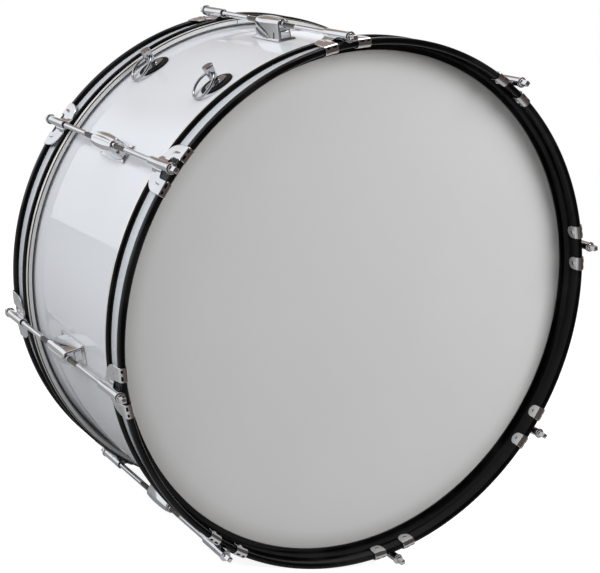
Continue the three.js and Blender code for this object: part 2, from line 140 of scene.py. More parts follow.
def grid_faces(rows: int, columns: int, wrap_rows: bool, wrap_columns: bool) -> NDArray[np.int64]:
    """Quads of a grid of points stored row by row.

    Args:
        rows: Number of rows.
        columns: Number of columns.
        wrap_rows: True if the last row joins the first.
        wrap_columns: True if the last column joins the first.

    Returns:
        An array of vertex numbers, four to a face.
    """
    i = np.arange(rows if wrap_rows else rows - 1)[:, None]
    j = np.arange(columns if wrap_columns else columns - 1)[None, :]
    i2, j2 = (i + 1) % rows, (j + 1) % columns
    quads = np.stack(
        np.broadcast_arrays(
            i * columns + j, i * columns + j2, i2 * columns + j2, i2 * columns + j
        ),
        axis=-1,
    )
    return quads.reshape(-1, 4)


def loft(sections: Points, capped: bool = True) -> Surface:
    """A skin over closed sections, S(i, j) = sections[i, j].

    Args:
        sections: Array of sections by points by three.
        capped: False if the last section joins the first.

    Returns:
        A closed surface.
    """
    count, size, _ = sections.shape
    points = sections.reshape(-1, 3)
    faces: Faces = [grid_faces(count, size, not capped, True)]
    if capped:
        ends = [sections[0].mean(0), sections[-1].mean(0)]
        points = np.concatenate([points, np.array(ends)])
        ring = np.arange(size)
        after = (ring + 1) % size
        first = np.stack([after, ring, np.full(size, count * size)], 1)
        base = (count - 1) * size
        last = np.stack([ring + base, after + base, np.full(size, count * size + 1)], 1)
        faces += [first, last]
    return Surface(points, faces).outward()


def revolve(profile: Points, steps: int, closed: bool = True) -> Surface:
    """A profile of (radius, height) turned about the third axis.

    The surface is P(u, v) = (r(v) cos u, r(v) sin u, h(v)) for u from 0 to a full turn.

    Args:
        profile: Radius and height of each point.
        steps: Number of flats in the turn.
        closed: False if the profile starts and ends on the axis.

    Returns:
        A closed surface.
    """
    inner = profile if closed else profile[1:-1]
    turn = np.linspace(0, 2 * np.pi, steps, endpoint=False)
    points = np.stack(
        [
            np.outer(np.cos(turn), inner[:, 0]),
            np.outer(np.sin(turn), inner[:, 0]),
            np.broadcast_to(inner[:, 1], (steps, len(inner))),
        ],
        axis=-1,
    ).reshape(-1, 3)
    faces: Faces = [grid_faces(steps, len(inner), True, closed)]
    if not closed:
        poles = np.array([[0, 0, profile[0, 1]], [0, 0, profile[-1, 1]]])
        total, size = len(points), len(inner)
        points = np.concatenate([points, poles])
        ring = np.arange(steps) * size
        after = (np.arange(steps) + 1) % steps * size
        faces.append(np.stack([ring, after, np.full(steps, total)], 1))
        faces.append(np.stack([after, ring, np.full(steps, total + 1)], 1) + [size - 1, size - 1, 0])
    return Surface(points, faces).outward()


def filleted(corners: Sequence[tuple[float, float, float]], steps: int = 5) -> Points:
    """A closed outline with rounded corners.

    Args:
        corners: (x, y, radius) of each corner in order.
        steps: Points on each rounded corner, less one.

    Returns:
        The outline's points.
    """
    places = np.array([c[:2] for c in corners], float)
    out: list[Points] = []
    for i, (_, _, radius) in enumerate(corners):
        here = places[i]
        back, ahead = places[i - 1] - here, places[(i + 1) % len(places)] - here
        back_length, ahead_length = np.linalg.norm(back), np.linalg.norm(ahead)
        back, ahead = back / back_length, ahead / ahead_length
        half = math.acos(float(np.clip(back @ ahead, -1, 1))) / 2
        if radius <= 0 or half > STRAIGHT:
            out.append(here[None])
            continue
        reach = min(radius / math.tan(half), LONGEST_CUT * back_length, LONGEST_CUT * ahead_length)
        radius = reach * math.tan(half)
        centre = here + (back + ahead) / np.linalg.norm(back + ahead) * radius / math.sin(half)
        start, end = here + back * reach - centre, here + ahead * reach - centre
        first = math.atan2(start[1], start[0])
        sweep = (math.atan2(end[1], end[0]) - first + math.pi) % (2 * math.pi) - math.pi
        angles = first + sweep * np.linspace(0, 1, steps + 1)
        out.append(centre + radius * np.stack([np.cos(angles), np.sin(angles)], 1))
    return np.concatenate(out)


def box_corners(x: float, y: float, radius: float) -> list[tuple[float, float, float]]:
    """The corners of a rectangle round the origin, from its half sizes, for filleted."""
    return [(-x, -y, radius), (x, -y, radius), (x, y, radius), (-x, y, radius)]


def arc(centre: tuple[float, float], radius: float, start: float, end: float, steps: int) -> Points:
    """Points on an arc, its angles in degrees."""
    angles = np.radians(np.linspace(start, end, steps + 1))
    return np.array(centre) + radius * np.stack([np.cos(angles), np.sin(angles)], 1)


def beside(path: Points, distance: float) -> Points:
    """An open path moved sideways by a distance, its corners mitred.

    Args:
        path: Points of the path.
        distance: How far to move it, to the right of its direction.

    Returns:
        The moved path.
    """
    along = np.diff(path, axis=0)
    along /= np.linalg.norm(along, axis=1)[:, None]
    normals = np.stack([along[:, 1], -along[:, 0]], 1)
    before = np.concatenate([normals[:1], normals])
    after = np.concatenate([normals, normals[-1:]])
    mitre = before + after
    mitre /= (mitre * after).sum(1)[:, None]
    return path + mitre * distance


def smoothstep(low: float, high: float, x: NDArray[np.float64]) -> NDArray[np.float64]:
    """Rises smoothly from 0 at low to 1 at high, as 3t^2 - 2t^3."""
    t = np.clip((x - low) / (high - low), 0, 1)
    return t * t * (3 - 2 * t)


def at_height(outline: Points, height: float) -> Points:
    """A flat outline lifted to a height."""
    return np.column_stack([outline, np.full(len(outline), height)])


def show(thing: bpy.types.Object) -> None:
    """Puts an object in the scene."""
    bpy.context.scene.collection.objects.link(thing)


# Places


@dataclass(frozen=True)
class DrumSize:
    """The sizes that every sub-assembly shares, in millimetres.

    Radii are from the drum's axis. Depths are from its middle plane, along the axis.
    """

    shell_radius: float = 279.4
    shell_inner: float = 273.0
    shell_end: float = 127.0
    crest_radius: float = 275.2
    bevel_end: float = 122.8
    film_face: float = 127.65
    film: float = 0.35
    collar_radius: float = 280.75
    rim_face: float = 114.9
    rim_radius: float = 285.2
    flesh_inner: float = 282.7
    flesh_outer: float = 288.0
    flesh_top: float = 114.25
    flesh_rear: float = 108.55
    hoop_radius: float = 290.5
    hoop_front: float = 152.7
    hoop_rear: float = 115.2
    hoop_inner: float = 281.05
    hoop_floor: float = 285.0
    bead_line: float = 287.0
    bead_radius: float = 3.5
    bead_shoulder: float = 146.4
    # The lip reaches over the head's edge and stands in for the shade there, as well as being the hoop's
    # own lip.
    lip_under: float = 127.95
    lip_top: float = 129.55
    lip_inner: float = 275.8
    rod_circle: float = 296.2
    claw_mouth: float = 155.6
    claw_tube_end: float = 112.8
    sling_angle: float = -45.0
    sling_pivot: float = 293.4

    @property
    def sling_places(self) -> dict[End, float]:
        """Where each sling eye lies along Y."""
        return {End.FRONT: -66.5, End.BACK: 84.5}


SIZE = DrumSize()


def round_axis(points: Points) -> Points:
    """Takes points turned about the third axis to the drum's axis, height becoming -Y."""
    return np.stack([points[:, 1], -points[:, 2], points[:, 0] + SIZE.hoop_radius], 1)


def turned_to_back(points: Points) -> Points:
    """Turns points half round the vertical through the drum's middle."""
    return points * [-1, -1, 1]


def at_end(end: End) -> Callable[[Points], Points]:
    """The change that puts a piece made for the front on either end."""
    return turned_to_back if end is End.BACK else lambda points: points


def at_angle(degrees: float) -> Callable[[Points], Points]:
    """The change that puts a piece made above the axis at an angle round the drum.

    Args:
        degrees: Angle from the top, clockwise as seen from the front.

    Returns:
        A function from (across, along Y, radial) to the row frame.
    """
    c, s = math.cos(math.radians(degrees)), math.sin(math.radians(degrees))

    def change(points: Points) -> Points:
        """Turns points round the axis and lifts them to it.

        Args:
            points: Points of (across, along Y, radial).

        Returns:
            The points.
        """
        across, along, radial = points.T
        return np.stack(
            [radial * s + across * c, along, radial * c - across * s + SIZE.hoop_radius], 1
        )

    return change


def station_degrees(number: int) -> float:
    """The angle of a lug, claw or rod, numbered from 1."""
    return (number - 0.5) * 360 / STATIONS


def on_rod_line(side: int) -> Callable[[Points], Points]:
    """The change that lays a turned piece on the rod's line, side 1 with its height along Y."""
    return lambda p: np.stack([p[:, 1], side * p[:, 2], p[:, 0] + SIZE.rod_circle], 1)


# Finishes

Colour = tuple[float, float, float]


class Graph:
    """Adds nodes to a tree and joins them."""

    def __init__(self, tree: bpy.types.NodeTree) -> None:
        """Keeps the tree to work on."""
        self.tree = tree

    def add(
        self, kind: str, values: dict[str | int, object] | None = None, **settings: object
    ) -> bpy.types.Node:
        """Adds a node.

        Args:
            kind: The node's type name.
            values: Input sockets and what they hold, a constant or another node's socket.
            settings: The node's own properties.

        Returns:
            The node.
        """
        node = self.tree.nodes.new(kind)
        for name, value in settings.items():
            setattr(node, name, value)
        for name, value in (values or {}).items():
            socket = node.inputs[name]
            if isinstance(value, Socket):
                self.tree.links.new(value, socket)
            elif isinstance(value, tuple) and len(value) == 3 and socket.type == "RGBA":
                socket.default_value = (*value, 1.0)
            else:
                socket.default_value = value
        return node

    def math(self, operation: str, *values: object) -> Socket:
        """Adds a maths node and returns its result.

        Args:
            operation: The node's operation.
            values: Numbers or sockets to feed it.

        Returns:
            The result.
        """
        node = self.tree.nodes.new("ShaderNodeMath")
        node.operation = operation
        for i, value in enumerate(values):
            if isinstance(value, Socket):
                self.tree.links.new(value, node.inputs[i])
            else:
                node.inputs[i].default_value = value
        return node.outputs[0]

    def span(
        self,
        value: Socket,
        low: float,
        high: float,
        to_low: float = 0.0,
        to_high: float = 1.0,
    ) -> Socket:
        """Maps a value smoothly from one range to another.

        Args:
            value: What is mapped.
            low: Where the first range starts.
            high: Where the first range ends.
            to_low: What low becomes.
            to_high: What high becomes.

        Returns:
            The result.
        """
        ends = {"From Min": low, "From Max": high, "To Min": to_low, "To Max": to_high}
        node = self.add(
            "ShaderNodeMapRange", {"Value": value, **ends}, interpolation_type="SMOOTHSTEP"
        )
        return node.outputs["Result"]

    def noise(
        self, place: Socket, scale: float, detail: float = 2.0
    ) -> Socket:
        """Adds a noise texture and returns its grey value."""
        values = {"Vector": place, "Scale": scale, "Detail": detail}
        return self.add("ShaderNodeTexNoise", values).outputs[0]

    def group(self, name: str, place: Socket) -> bpy.types.bpy_prop_collection:
        """Adds a node group fed with a place, and returns its outputs.

        Args:
            name: The group's name.
            place: The place that it is fed with.

        Returns:
            The group node's outputs.
        """
        node = self.add("ShaderNodeGroup", node_tree=bpy.data.node_groups[name])
        self.tree.links.new(place, node.inputs["Vector"])
        return node.outputs

    def bump(self, height: Socket, depth: float) -> Socket:
        """A normal bent by a height, for full height a depth in metres."""
        node = self.add("ShaderNodeBump", {"Height": height, "Distance": depth})
        return node.outputs["Normal"]

    def mix(self, share: object, first: object, second: object) -> Socket:
        """Mixes two colours.

        Args:
            share: How much of the second there is, a number or a socket.
            first: The first colour, or a socket.
            second: The second colour, or a socket.

        Returns:
            The result.
        """
        node = self.add("ShaderNodeMix", data_type="RGBA")
        for name, value in (("Factor_Float", share), ("A_Color", first), ("B_Color", second)):
            socket = next(s for s in node.inputs if s.identifier == name)
            if isinstance(value, Socket):
                self.tree.links.new(value, socket)
            elif isinstance(value, tuple):
                socket.default_value = (*value, 1.0)
            else:
                socket.default_value = value
        return next(s for s in node.outputs if s.identifier == "Result_Color")


def cleared_graph(owner: bpy.types.Material | bpy.types.World) -> Graph:
    """Turns on an owner's nodes, takes out the ones it starts with, and returns a graph on them.

    Args:
        owner: The material or world.

    Returns:
        The graph.
    """
    owner.use_nodes = True
    owner.node_tree.nodes.clear()
    return Graph(owner.node_tree)


def make_group(name: str, outputs: dict[str, str]) -> tuple[bpy.types.NodeTree, Graph]:
    """Makes an empty node group with a vector input.

    Args:
        name: The group's name.
        outputs: Name and socket type of each output.

    Returns:
        The group and a graph on it.
    """
    group = bpy.data.node_groups.new(name, "ShaderNodeTree")
    group.interface.new_socket("Vector", in_out="INPUT", socket_type="NodeSocketVector")
    for output, kind in outputs.items():
        group.interface.new_socket(output, in_out="OUTPUT", socket_type=kind)
    return group, Graph(group)


def polar_group() -> bpy.types.NodeTree:
    """Gives each point's distance from the drum's axis, turn about it and place along it.

    Returns:
        The group.
    """
    group, graph = make_group(
        "drum_polar",
        {"Radius": "NodeSocketFloat", "Turn": "NodeSocketFloat", "Along": "NodeSocketFloat"},
    )
    start = graph.add("NodeGroupInput").outputs["Vector"]
    parts = graph.add("ShaderNodeSeparateXYZ", {"Vector": start}).outputs
    height = graph.math("SUBTRACT", parts["Z"], SIZE.hoop_radius * MM)
    across = graph.math("POWER", parts["X"], 2.0)
    squares = graph.math("MULTIPLY_ADD", height, height, across)
    end = graph.add("NodeGroupOutput")
    graph.tree.links.new(graph.math("SQRT", squares), end.inputs["Radius"])
    graph.tree.links.new(graph.math("ARCTAN2", parts["X"], height), end.inputs["Turn"])
    graph.tree.links.new(parts["Y"], end.inputs["Along"])
    return group


def marks_group() -> bpy.types.NodeTree:
    """Gives a mask of soft handling marks and a mask of hair-fine scratches.

    Returns:
        The group.
    """
    group, graph = make_group(
        "handling_marks", {"Marks": "NodeSocketFloat", "Scratches": "NodeSocketFloat"}
    )
    start = graph.add("NodeGroupInput").outputs["Vector"]
    stretched = graph.add(
        "ShaderNodeMapping",
        {"Vector": start, "Scale": (900.0, 60.0, 240.0), "Rotation": (0.4, 0.7, 0.2)},
    )
    soft = graph.noise(start, 16.0, 4.0)
    fine = graph.noise(stretched.outputs[0], 1.0)
    end = graph.add("NodeGroupOutput")
    graph.tree.links.new(graph.span(soft, 0.45, 0.7), end.inputs["Marks"])
    graph.tree.links.new(graph.span(fine, 0.6, 0.72), end.inputs["Scratches"])
    return group


def streak_group() -> bpy.types.NodeTree:
    """Gives fine lines that run round the drum, as left by rolling or drawing a ring.

    Returns:
        The group.
    """
    group, graph = make_group("ring_streaks", {"Streaks": "NodeSocketFloat"})
    start = graph.add("NodeGroupInput").outputs["Vector"]
    polar = graph.group("drum_polar", start)
    place = graph.add(
        "ShaderNodeCombineXYZ",
        {
            "X": graph.math("MULTIPLY", polar["Radius"], 2600.0),
            "Y": graph.math("MULTIPLY", polar["Turn"], 6.0),
            "Z": graph.math("MULTIPLY", polar["Along"], 2600.0),
        },
    )
    end = graph.add("NodeGroupOutput")
    graph.tree.links.new(graph.noise(place.outputs[0], 1.0, 3.0), end.inputs["Streaks"])
    return group


@dataclass(frozen=True)
class Finish:
    """A surface finish. Each kind adds its own nodes to a Principled shader.

    Attributes:
        slot: The record's slot that it is for.
        colour: Base colour, linear.
        roughness: Roughness of the clean surface.
        metallic: 1 for bare or plated metal.
        shine: Specular level of what isn't metal.
        name: A name for a second finish of the same slot.
    """

    slot: Slot
    colour: Colour
    roughness: float
    metallic: float = 0.0
    shine: float = 0.5
    name: str = ""

    def material(self) -> bpy.types.Material:
        """Builds the material.

        Returns:
            The material.
        """
        made = bpy.data.materials.new("dressed_" + (self.name or self.slot.value))
        graph = cleared_graph(made)
        shader = graph.add(
            "ShaderNodeBsdfPrincipled",
            {
                "Base Color": self.colour,
                "Roughness": self.roughness,
                "Metallic": self.metallic,
                "Specular IOR Level": self.shine,
            },
        )
        graph.add("ShaderNodeOutputMaterial", {"Surface": shader.outputs["BSDF"]})
        place = graph.add("ShaderNodeTexCoord").outputs["Object"]
        for name, value in self.detail(graph, place).items():
            graph.tree.links.new(value, shader.inputs[name])
        made.diffuse_color = (*self.colour, 1.0)
        return made

    def detail(self, graph: Graph, place: Socket) -> Feeds:
        """What varies over the surface.

        Args:
            graph: The material's graph.
            place: Object coordinates.

        Returns:
            The shader's inputs by name, each with what feeds it.
        """
        raise NotImplementedError

    def shaded(self, share: float) -> Colour:
        """The base colour times a share, at most white."""
        return tuple(min(1.0, c * share) for c in self.colour)


@dataclass(frozen=True)
class GlossWrap(Finish):
    """Smooth plastic wrap with a lap seam, a faint ripple and handling marks."""

    seam_degrees: float = 157.5
    seam_shade: Colour = (0.42, 0.44, 0.48)
    ripple: float = 0.00005

    def detail(self, graph: Graph, place: Socket) -> Feeds:
        """A clouded colour, a dark seam line, duller marks and a slow ripple.

        Args:
            graph: The graph that gets the nodes.
            place: Object coordinates.

        Returns:
            The shader's inputs by name, each with what feeds it.
        """
        polar = graph.group("drum_polar", place)
        marks = graph.group("handling_marks", place)["Marks"]
        wave = graph.noise(place, 9.0, 1.0)
        turn = graph.math("SUBTRACT", polar["Turn"], math.radians(self.seam_degrees))
        seam = graph.span(graph.math("ABSOLUTE", turn), 0.0004, 0.0012, 1.0, 0.0)
        base = graph.mix(graph.span(wave, 0.3, 0.7), self.colour, self.shaded(1.02))
        height = graph.math("MULTIPLY_ADD", seam, -0.2, wave)
        return {
            "Base Color": graph.mix(seam, base, self.seam_shade),
            "Roughness": graph.math("MULTIPLY_ADD", marks, 0.02, self.roughness),
            "Normal": graph.bump(height, self.ripple),
        }


@dataclass(frozen=True)
class Lacquer(Finish):
    """Deep lacquer over wood, with rubbed patches and faint turning lines."""

    rubbed: Colour = (0.009, 0.009, 0.0095)

    def detail(self, graph: Graph, place: Socket) -> Feeds:
        """Rubbed patches, and lines that change both roughness and height.

        Args:
            graph: The graph that gets the nodes.
            place: Object coordinates.

        Returns:
            The shader's inputs by name, each with what feeds it.
        """
        marks = graph.group("handling_marks", place)["Marks"]
        streaks = graph.group("ring_streaks", place)["Streaks"]
        rough = graph.math("MULTIPLY_ADD", marks, 0.1, self.roughness)
        return {
            "Base Color": graph.mix(marks, self.colour, self.rubbed),
            "Roughness": graph.math("MULTIPLY_ADD", streaks, 0.06, rough),
            "Normal": graph.bump(streaks, 0.00001),
        }


@dataclass(frozen=True)
class DrumFilm(Finish):
    """Semi-gloss film with a faint cloudiness, and a darker band near its edge that is painted shade from
    the hoop.
    """

    # The rim colour, its share and the band paint the hoop's shade on the film near its edge.
    rim_painted_shade: Colour = (0.44, 0.43, 0.42)
    rim_shade_share: float = 0.66
    band: tuple[float, float] = (0.252, 0.277)

    def detail(self, graph: Graph, place: Socket) -> Feeds:
        """Clouds, a band of painted shade near the edge, handling marks and a fine grain.

        Args:
            graph: The graph that gets the nodes.
            place: Object coordinates.

        Returns:
            The shader's inputs by name, each with what feeds it.
        """
        radius = graph.group("drum_polar", place)["Radius"]
        marks = graph.group("handling_marks", place)["Marks"]
        cloud = graph.span(graph.noise(place, 3.5, 3.0), 0.35, 0.65)
        base = graph.mix(cloud, self.shaded(0.97), self.colour)
        # Painted shade: the film darkens towards its edge, where the hoop shades it.
        edge = graph.span(radius, *self.band, 0.0, self.rim_shade_share)
        return {
            "Base Color": graph.mix(edge, base, self.rim_painted_shade),
            "Roughness": graph.math("MULTIPLY_ADD", marks, 0.06, self.roughness),
            "Normal": graph.bump(graph.noise(place, 1400.0), 0.00002),
        }


@dataclass(frozen=True)
class DrawnMetal(Finish):
    """Bare metal with lines round the drum, a butt joint, and painted shade: a darker face and a dark line
    in the fold.
    """

    streak_share: float = 0.9
    # Painted shade: the face colour darkens the faces inside the outer wall, and the fold colour paints a
    # dark line where the wall is folded.
    face: Colour = (0.8, 0.8, 0.79)
    shaded_face_radius: float = 0.2868
    fold_shade: Colour = (0.06, 0.06, 0.06)
    fold_radius: float = 0.2873
    fold_half: float = 0.0005
    joint_degrees: float = -19.7
    joint_shade: Colour = (0.05, 0.05, 0.05)

    def detail(self, graph: Graph, place: Socket) -> Feeds:
        """Lines in colour and height, painted shade on the face and in the fold, marks in roughness, and a
        dark thin joint.

        Args:
            graph: The graph that gets the nodes.
            place: Object coordinates.

        Returns:
            The shader's inputs by name, each with what feeds it.
        """
        streaks = graph.group("ring_streaks", place)["Streaks"]
        marks = graph.group("handling_marks", place)["Marks"]
        polar = graph.group("drum_polar", place)
        turn = graph.math("SUBTRACT", polar["Turn"], math.radians(self.joint_degrees))
        joint = graph.span(graph.math("ABSOLUTE", turn), 0.0012, 0.0022, 1.0, 0.0)
        lines = graph.span(streaks, 0.3, 0.7)
        wall = graph.mix(lines, self.colour, self.shaded(self.streak_share))
        # Painted shade on the faces inside the outer wall, and a dark painted line of shade in the fold.
        inside = graph.span(polar["Radius"], self.shaded_face_radius, self.shaded_face_radius + 0.0002, 1.0, 0.0)
        off_fold = graph.math("ABSOLUTE", graph.math("SUBTRACT", polar["Radius"], self.fold_radius))
        fold_shade = graph.span(off_fold, self.fold_half, self.fold_half + 0.0001, 1.0, 0.0)
        base = graph.mix(fold_shade, graph.mix(inside, wall, self.face), self.fold_shade)
        return {
            "Base Color": graph.mix(joint, base, self.joint_shade),
            "Roughness": graph.math("MULTIPLY_ADD", marks, 0.03, self.roughness),
            "Normal": graph.bump(streaks, 0.000008),
        }


@dataclass(frozen=True)
class Plating(Finish):
    """Bright plating with hair-fine scratches and a few dull finger marks."""

    def detail(self, graph: Graph, place: Socket) -> Feeds:
        """Dull marks in colour and roughness, and scratches in roughness and height.

        Args:
            graph: The graph that gets the nodes.
            place: Object coordinates.

        Returns:
            The shader's inputs by name, each with what feeds it.
        """
        wear = graph.group("handling_marks", place)
        rough = graph.math("MULTIPLY_ADD", wear["Marks"], 0.06, self.roughness)
        return {
            "Base Color": graph.mix(wear["Marks"], self.colour, self.shaded(0.9)),
            "Roughness": graph.math("MULTIPLY_ADD", wear["Scratches"], 0.07, rough),
            "Normal": graph.bump(wear["Scratches"], -0.000004),
        }


@dataclass(frozen=True)
class ThreadedPlating(Plating):
    """Plating with a darker colour and more roughness on the threads next to the lugs."""

    thread: float = 0.0505
    # The threads get a darker colour than the rest of the rod.
    bare: Colour = (0.28, 0.27, 0.26)

    def detail(self, graph: Graph, place: Socket) -> Feeds:
        """The plating's marks, with a darker and duller colour on the threads.

        Args:
            graph: The graph that gets the nodes.
            place: Object coordinates.

        Returns:
            The shader's inputs by name, each with what feeds it.
        """
        feeds = super().detail(graph, place)
        along = graph.math("ABSOLUTE", graph.group("drum_polar", place)["Along"])
        share = graph.span(along, self.thread, self.thread + 0.0006, 1.0, 0.0)
        feeds["Base Color"] = graph.mix(share, feeds["Base Color"], self.bare)
        feeds["Roughness"] = graph.math("MULTIPLY_ADD", share, 0.2, feeds["Roughness"])
        return feeds


@dataclass(frozen=True)
class Strip(Finish):
    """A glossy plastic strip with faint draw lines."""

    def detail(self, graph: Graph, place: Socket) -> Feeds:
        """Lines in colour and height, and marks in roughness.

        Args:
            graph: The graph that gets the nodes.
            place: Object coordinates.

        Returns:
            The shader's inputs by name, each with what feeds it.
        """
        streaks = graph.group("ring_streaks", place)["Streaks"]
        marks = graph.group("handling_marks", place)["Marks"]
        return {
            "Base Color": graph.mix(
                graph.span(streaks, 0.4, 0.8), self.colour, self.shaded(0.93)
            ),
            "Roughness": graph.math("MULTIPLY_ADD", marks, 0.1, self.roughness),
            "Normal": graph.bump(streaks, 0.00002),
        }


@dataclass(frozen=True)
class Rubber(Finish):
    """Dull moulded rubber with a fine pebble and a dusty bloom."""

    bloom: Colour = (0.012, 0.012, 0.012)

    def detail(self, graph: Graph, place: Socket) -> Feeds:
        """A bloom in colour and roughness over a pebbled surface.

        Args:
            graph: The graph that gets the nodes.
            place: Object coordinates.

        Returns:
            The shader's inputs by name, each with what feeds it.
        """
        marks = graph.group("handling_marks", place)["Marks"]
        pebble = graph.add("ShaderNodeTexVoronoi", {"Vector": place, "Scale": 1600.0})
        return {
            "Base Color": graph.mix(marks, self.colour, self.bloom),
            "Roughness": graph.math("MULTIPLY_ADD", marks, 0.15, self.roughness),
            "Normal": graph.bump(pebble.outputs["Distance"], 0.00003),
        }


FINISHES: tuple[Finish, ...] = (
    GlossWrap(Slot.SHELL, (0.74, 0.765, 0.81), 0.02, shine=0.75),
    DrumFilm(Slot.HEAD, (0.62, 0.62, 0.62), 0.36),
    DrawnMetal(Slot.FLESH_HOOP, (0.95, 0.93, 0.89), 0.2, 0.35),
    Lacquer(Slot.HOOP, (0.0012, 0.0012, 0.0014), 0.12, shine=0.22),
    Strip(Slot.INLAY, (0.6, 0.635, 0.68), 0.25),
    Plating(Slot.CHROME, (0.82, 0.83, 0.85), 0.04, 1.0),
    Rubber(Slot.RUBBER, (0.004, 0.004, 0.004), 0.5, shine=0.15),
    Plating(Slot.STEEL, (0.6, 0.61, 0.62), 0.25, 1.0),
)
ROD_FINISH = ThreadedPlating(Slot.CHROME, (0.82, 0.83, 0.85), 0.05, 1.0, name="rod")
EYE_FINISH = Plating(Slot.CHROME, (0.5, 0.51, 0.53), 0.06, 1.0, name="eye")


class Workshop:
    """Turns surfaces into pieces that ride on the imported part's bodies."""

    def __init__(self) -> None:
        """Makes the shared node groups and the materials."""
        polar_group()
        marks_group()
        streak_group()
        self.materials = {finish.slot: finish.material() for finish in FINISHES}
        self.rod_material = ROD_FINISH.material()
        self.eye_material = EYE_FINISH.material()

    def mesh(self, name: str, surface: Surface) -> bpy.types.Mesh:
        """Makes a smooth mesh in metres from a surface in millimetres.

        Args:
            name: The mesh's name.
            surface: A surface that faces out.

        Returns:
            The mesh, its sharp edges marked.
        """
        loops = np.concatenate([block.ravel() for block in surface.faces])
        sizes = np.concatenate([np.full(len(block), block.shape[1]) for block in surface.faces])
        mesh = bpy.data.meshes.new(name)
        mesh.vertices.add(len(surface.points))
        mesh.vertices.foreach_set("co", (surface.points * MM).astype(np.float32).ravel())
        mesh.loops.add(len(loops))
        mesh.loops.foreach_set("vertex_index", loops.astype(np.int32))
        mesh.polygons.add(len(sizes))
        starts = np.concatenate([[0], np.cumsum(sizes)[:-1]])
        mesh.polygons.foreach_set("loop_start", starts.astype(np.int32))
        mesh.polygons.foreach_set("loop_total", sizes.astype(np.int32))
        mesh.update(calc_edges=True)
        mesh.validate()
        mesh.shade_smooth()
        mesh.set_sharp_from_angle(angle=SHARP_ANGLE)
        return mesh

    def cut(self, name: str, whole: Surface, cutter: Surface) -> Surface:
        """Takes one surface out of another.

        Args:
            name: A name for the work's own objects, which are deleted again.
            whole: The surface to cut.
            cutter: What is taken out of it.

        Returns:
            What is left, in millimetres.
        """
        body, tool = (
            bpy.data.objects.new(name + part, self.mesh(name + part, surface))
            for part, surface in (("_body", whole), ("_cutter", cutter))
        )
        for thing in (body, tool):
            show(thing)
        change = body.modifiers.new("cut", "BOOLEAN")
        change.operation = "DIFFERENCE"
        change.object = tool
        change.solver = "EXACT"
        graph = bpy.context.evaluated_depsgraph_get()
        result = bpy.data.meshes.new_from_object(body.evaluated_get(graph))
        found = surface_of(result)
        spent = [body.data, tool.data, result]
        for thing in (body, tool):
            bpy.data.objects.remove(thing)
        for mesh in spent:
            bpy.data.meshes.remove(mesh)
        return found

    def piece(
        self,
        node: str,
        body: str,
        surface: Surface,
        slot: Slot,
        material: bpy.types.Material | None = None,
    ) -> bpy.types.Object:
        """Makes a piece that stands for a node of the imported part.

        Args:
            node: The node it replaces, which also names it.
            body: The body it rides on.
            surface: Its surface in the row frame, in millimetres.
            slot: The record's slot that it takes its finish from.
            material: Its material, where that isn't the slot's own.

        Returns:
            The object, at the origin and unturned.
        """
        name = node + "_smooth"
        mesh = self.mesh(name, surface)
        mesh.materials.append(material or self.materials[slot])
        made = bpy.data.objects.new(name, mesh)
        show(made)
        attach(made, body)
        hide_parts(node)
        return made

    def pair(self, name: str, surface: Surface, slot: Slot) -> None:
        """Makes a fixed piece at both ends from the front's surface.

        Args:
            name: The nodes' name without its end.
            surface: The front piece's surface, in millimetres.
            slot: The record's slot that both take their finish from.
        """
        for end in End:
            self.piece(f"{end.value}_{name}", "drum", surface.mapped(at_end(end)), slot)


# Sub-assemblies


@dataclass(frozen=True)
class Shell:
    """The tube of the drum, with a bevelled edge at each end."""

    edge_round: float = 0.8
    steps: int = 480

    def surface(self) -> Surface:
        """The outer wall, the inner wall and a bevel between crest and outer wall.

        Returns:
            A closed surface in millimetres.
        """
        half = [
            (SIZE.shell_radius, SIZE.bevel_end, self.edge_round),
            (SIZE.crest_radius, SIZE.shell_end, self.edge_round),
            (SIZE.shell_inner, SIZE.shell_end, self.edge_round),
        ]
        mirrored = [(r, -a, f) for r, a, f in reversed(half)]
        profile = filleted([*half, *mirrored])
        return revolve(profile, self.steps).mapped(round_axis)

    def build(self, shop: Workshop) -> None:
        """Makes the shell."""
        shop.piece("shell", "drum", self.surface(), Slot.SHELL)


@dataclass(frozen=True)
class Head:
    """A film drawn over the shell's edge, with its rim clamped below the hoop."""

    crest_gap: float = 0.3
    shoulder: float = 1.1
    corner: float = 0.5
    steps: int = 480

    def surface(self) -> Surface:
        """The flat face, the slope over the shell's edge, the collar and the rim.

        Returns:
            A closed surface in millimetres.
        """
        crest = SIZE.crest_radius + self.crest_gap
        bends = filleted(
            [
                (crest, SIZE.film_face, self.shoulder),
                (SIZE.collar_radius, SIZE.bevel_end, self.shoulder),
                (SIZE.collar_radius, SIZE.rim_face, self.corner),
                (SIZE.rim_radius, SIZE.rim_face, 0),
                (SIZE.rim_radius, SIZE.film_face * 2, 0),
                (0, SIZE.film_face * 2, 0),
                (0, SIZE.film_face, 0),
            ]
        )[:-4]
        flat = np.array([(r, SIZE.film_face) for r in (0.0, 60.0, 120.0, 180.0, 230.0, 262.0)])
        top = np.concatenate([flat, bends, [[SIZE.rim_radius, SIZE.rim_face]]])
        under = beside(top, SIZE.film)[::-1]
        return revolve(np.concatenate([top, under]), self.steps, closed=False).mapped(round_axis)

    def build(self, shop: Workshop) -> None:
        """Makes both heads."""
        shop.pair("head", self.surface(), Slot.HEAD)


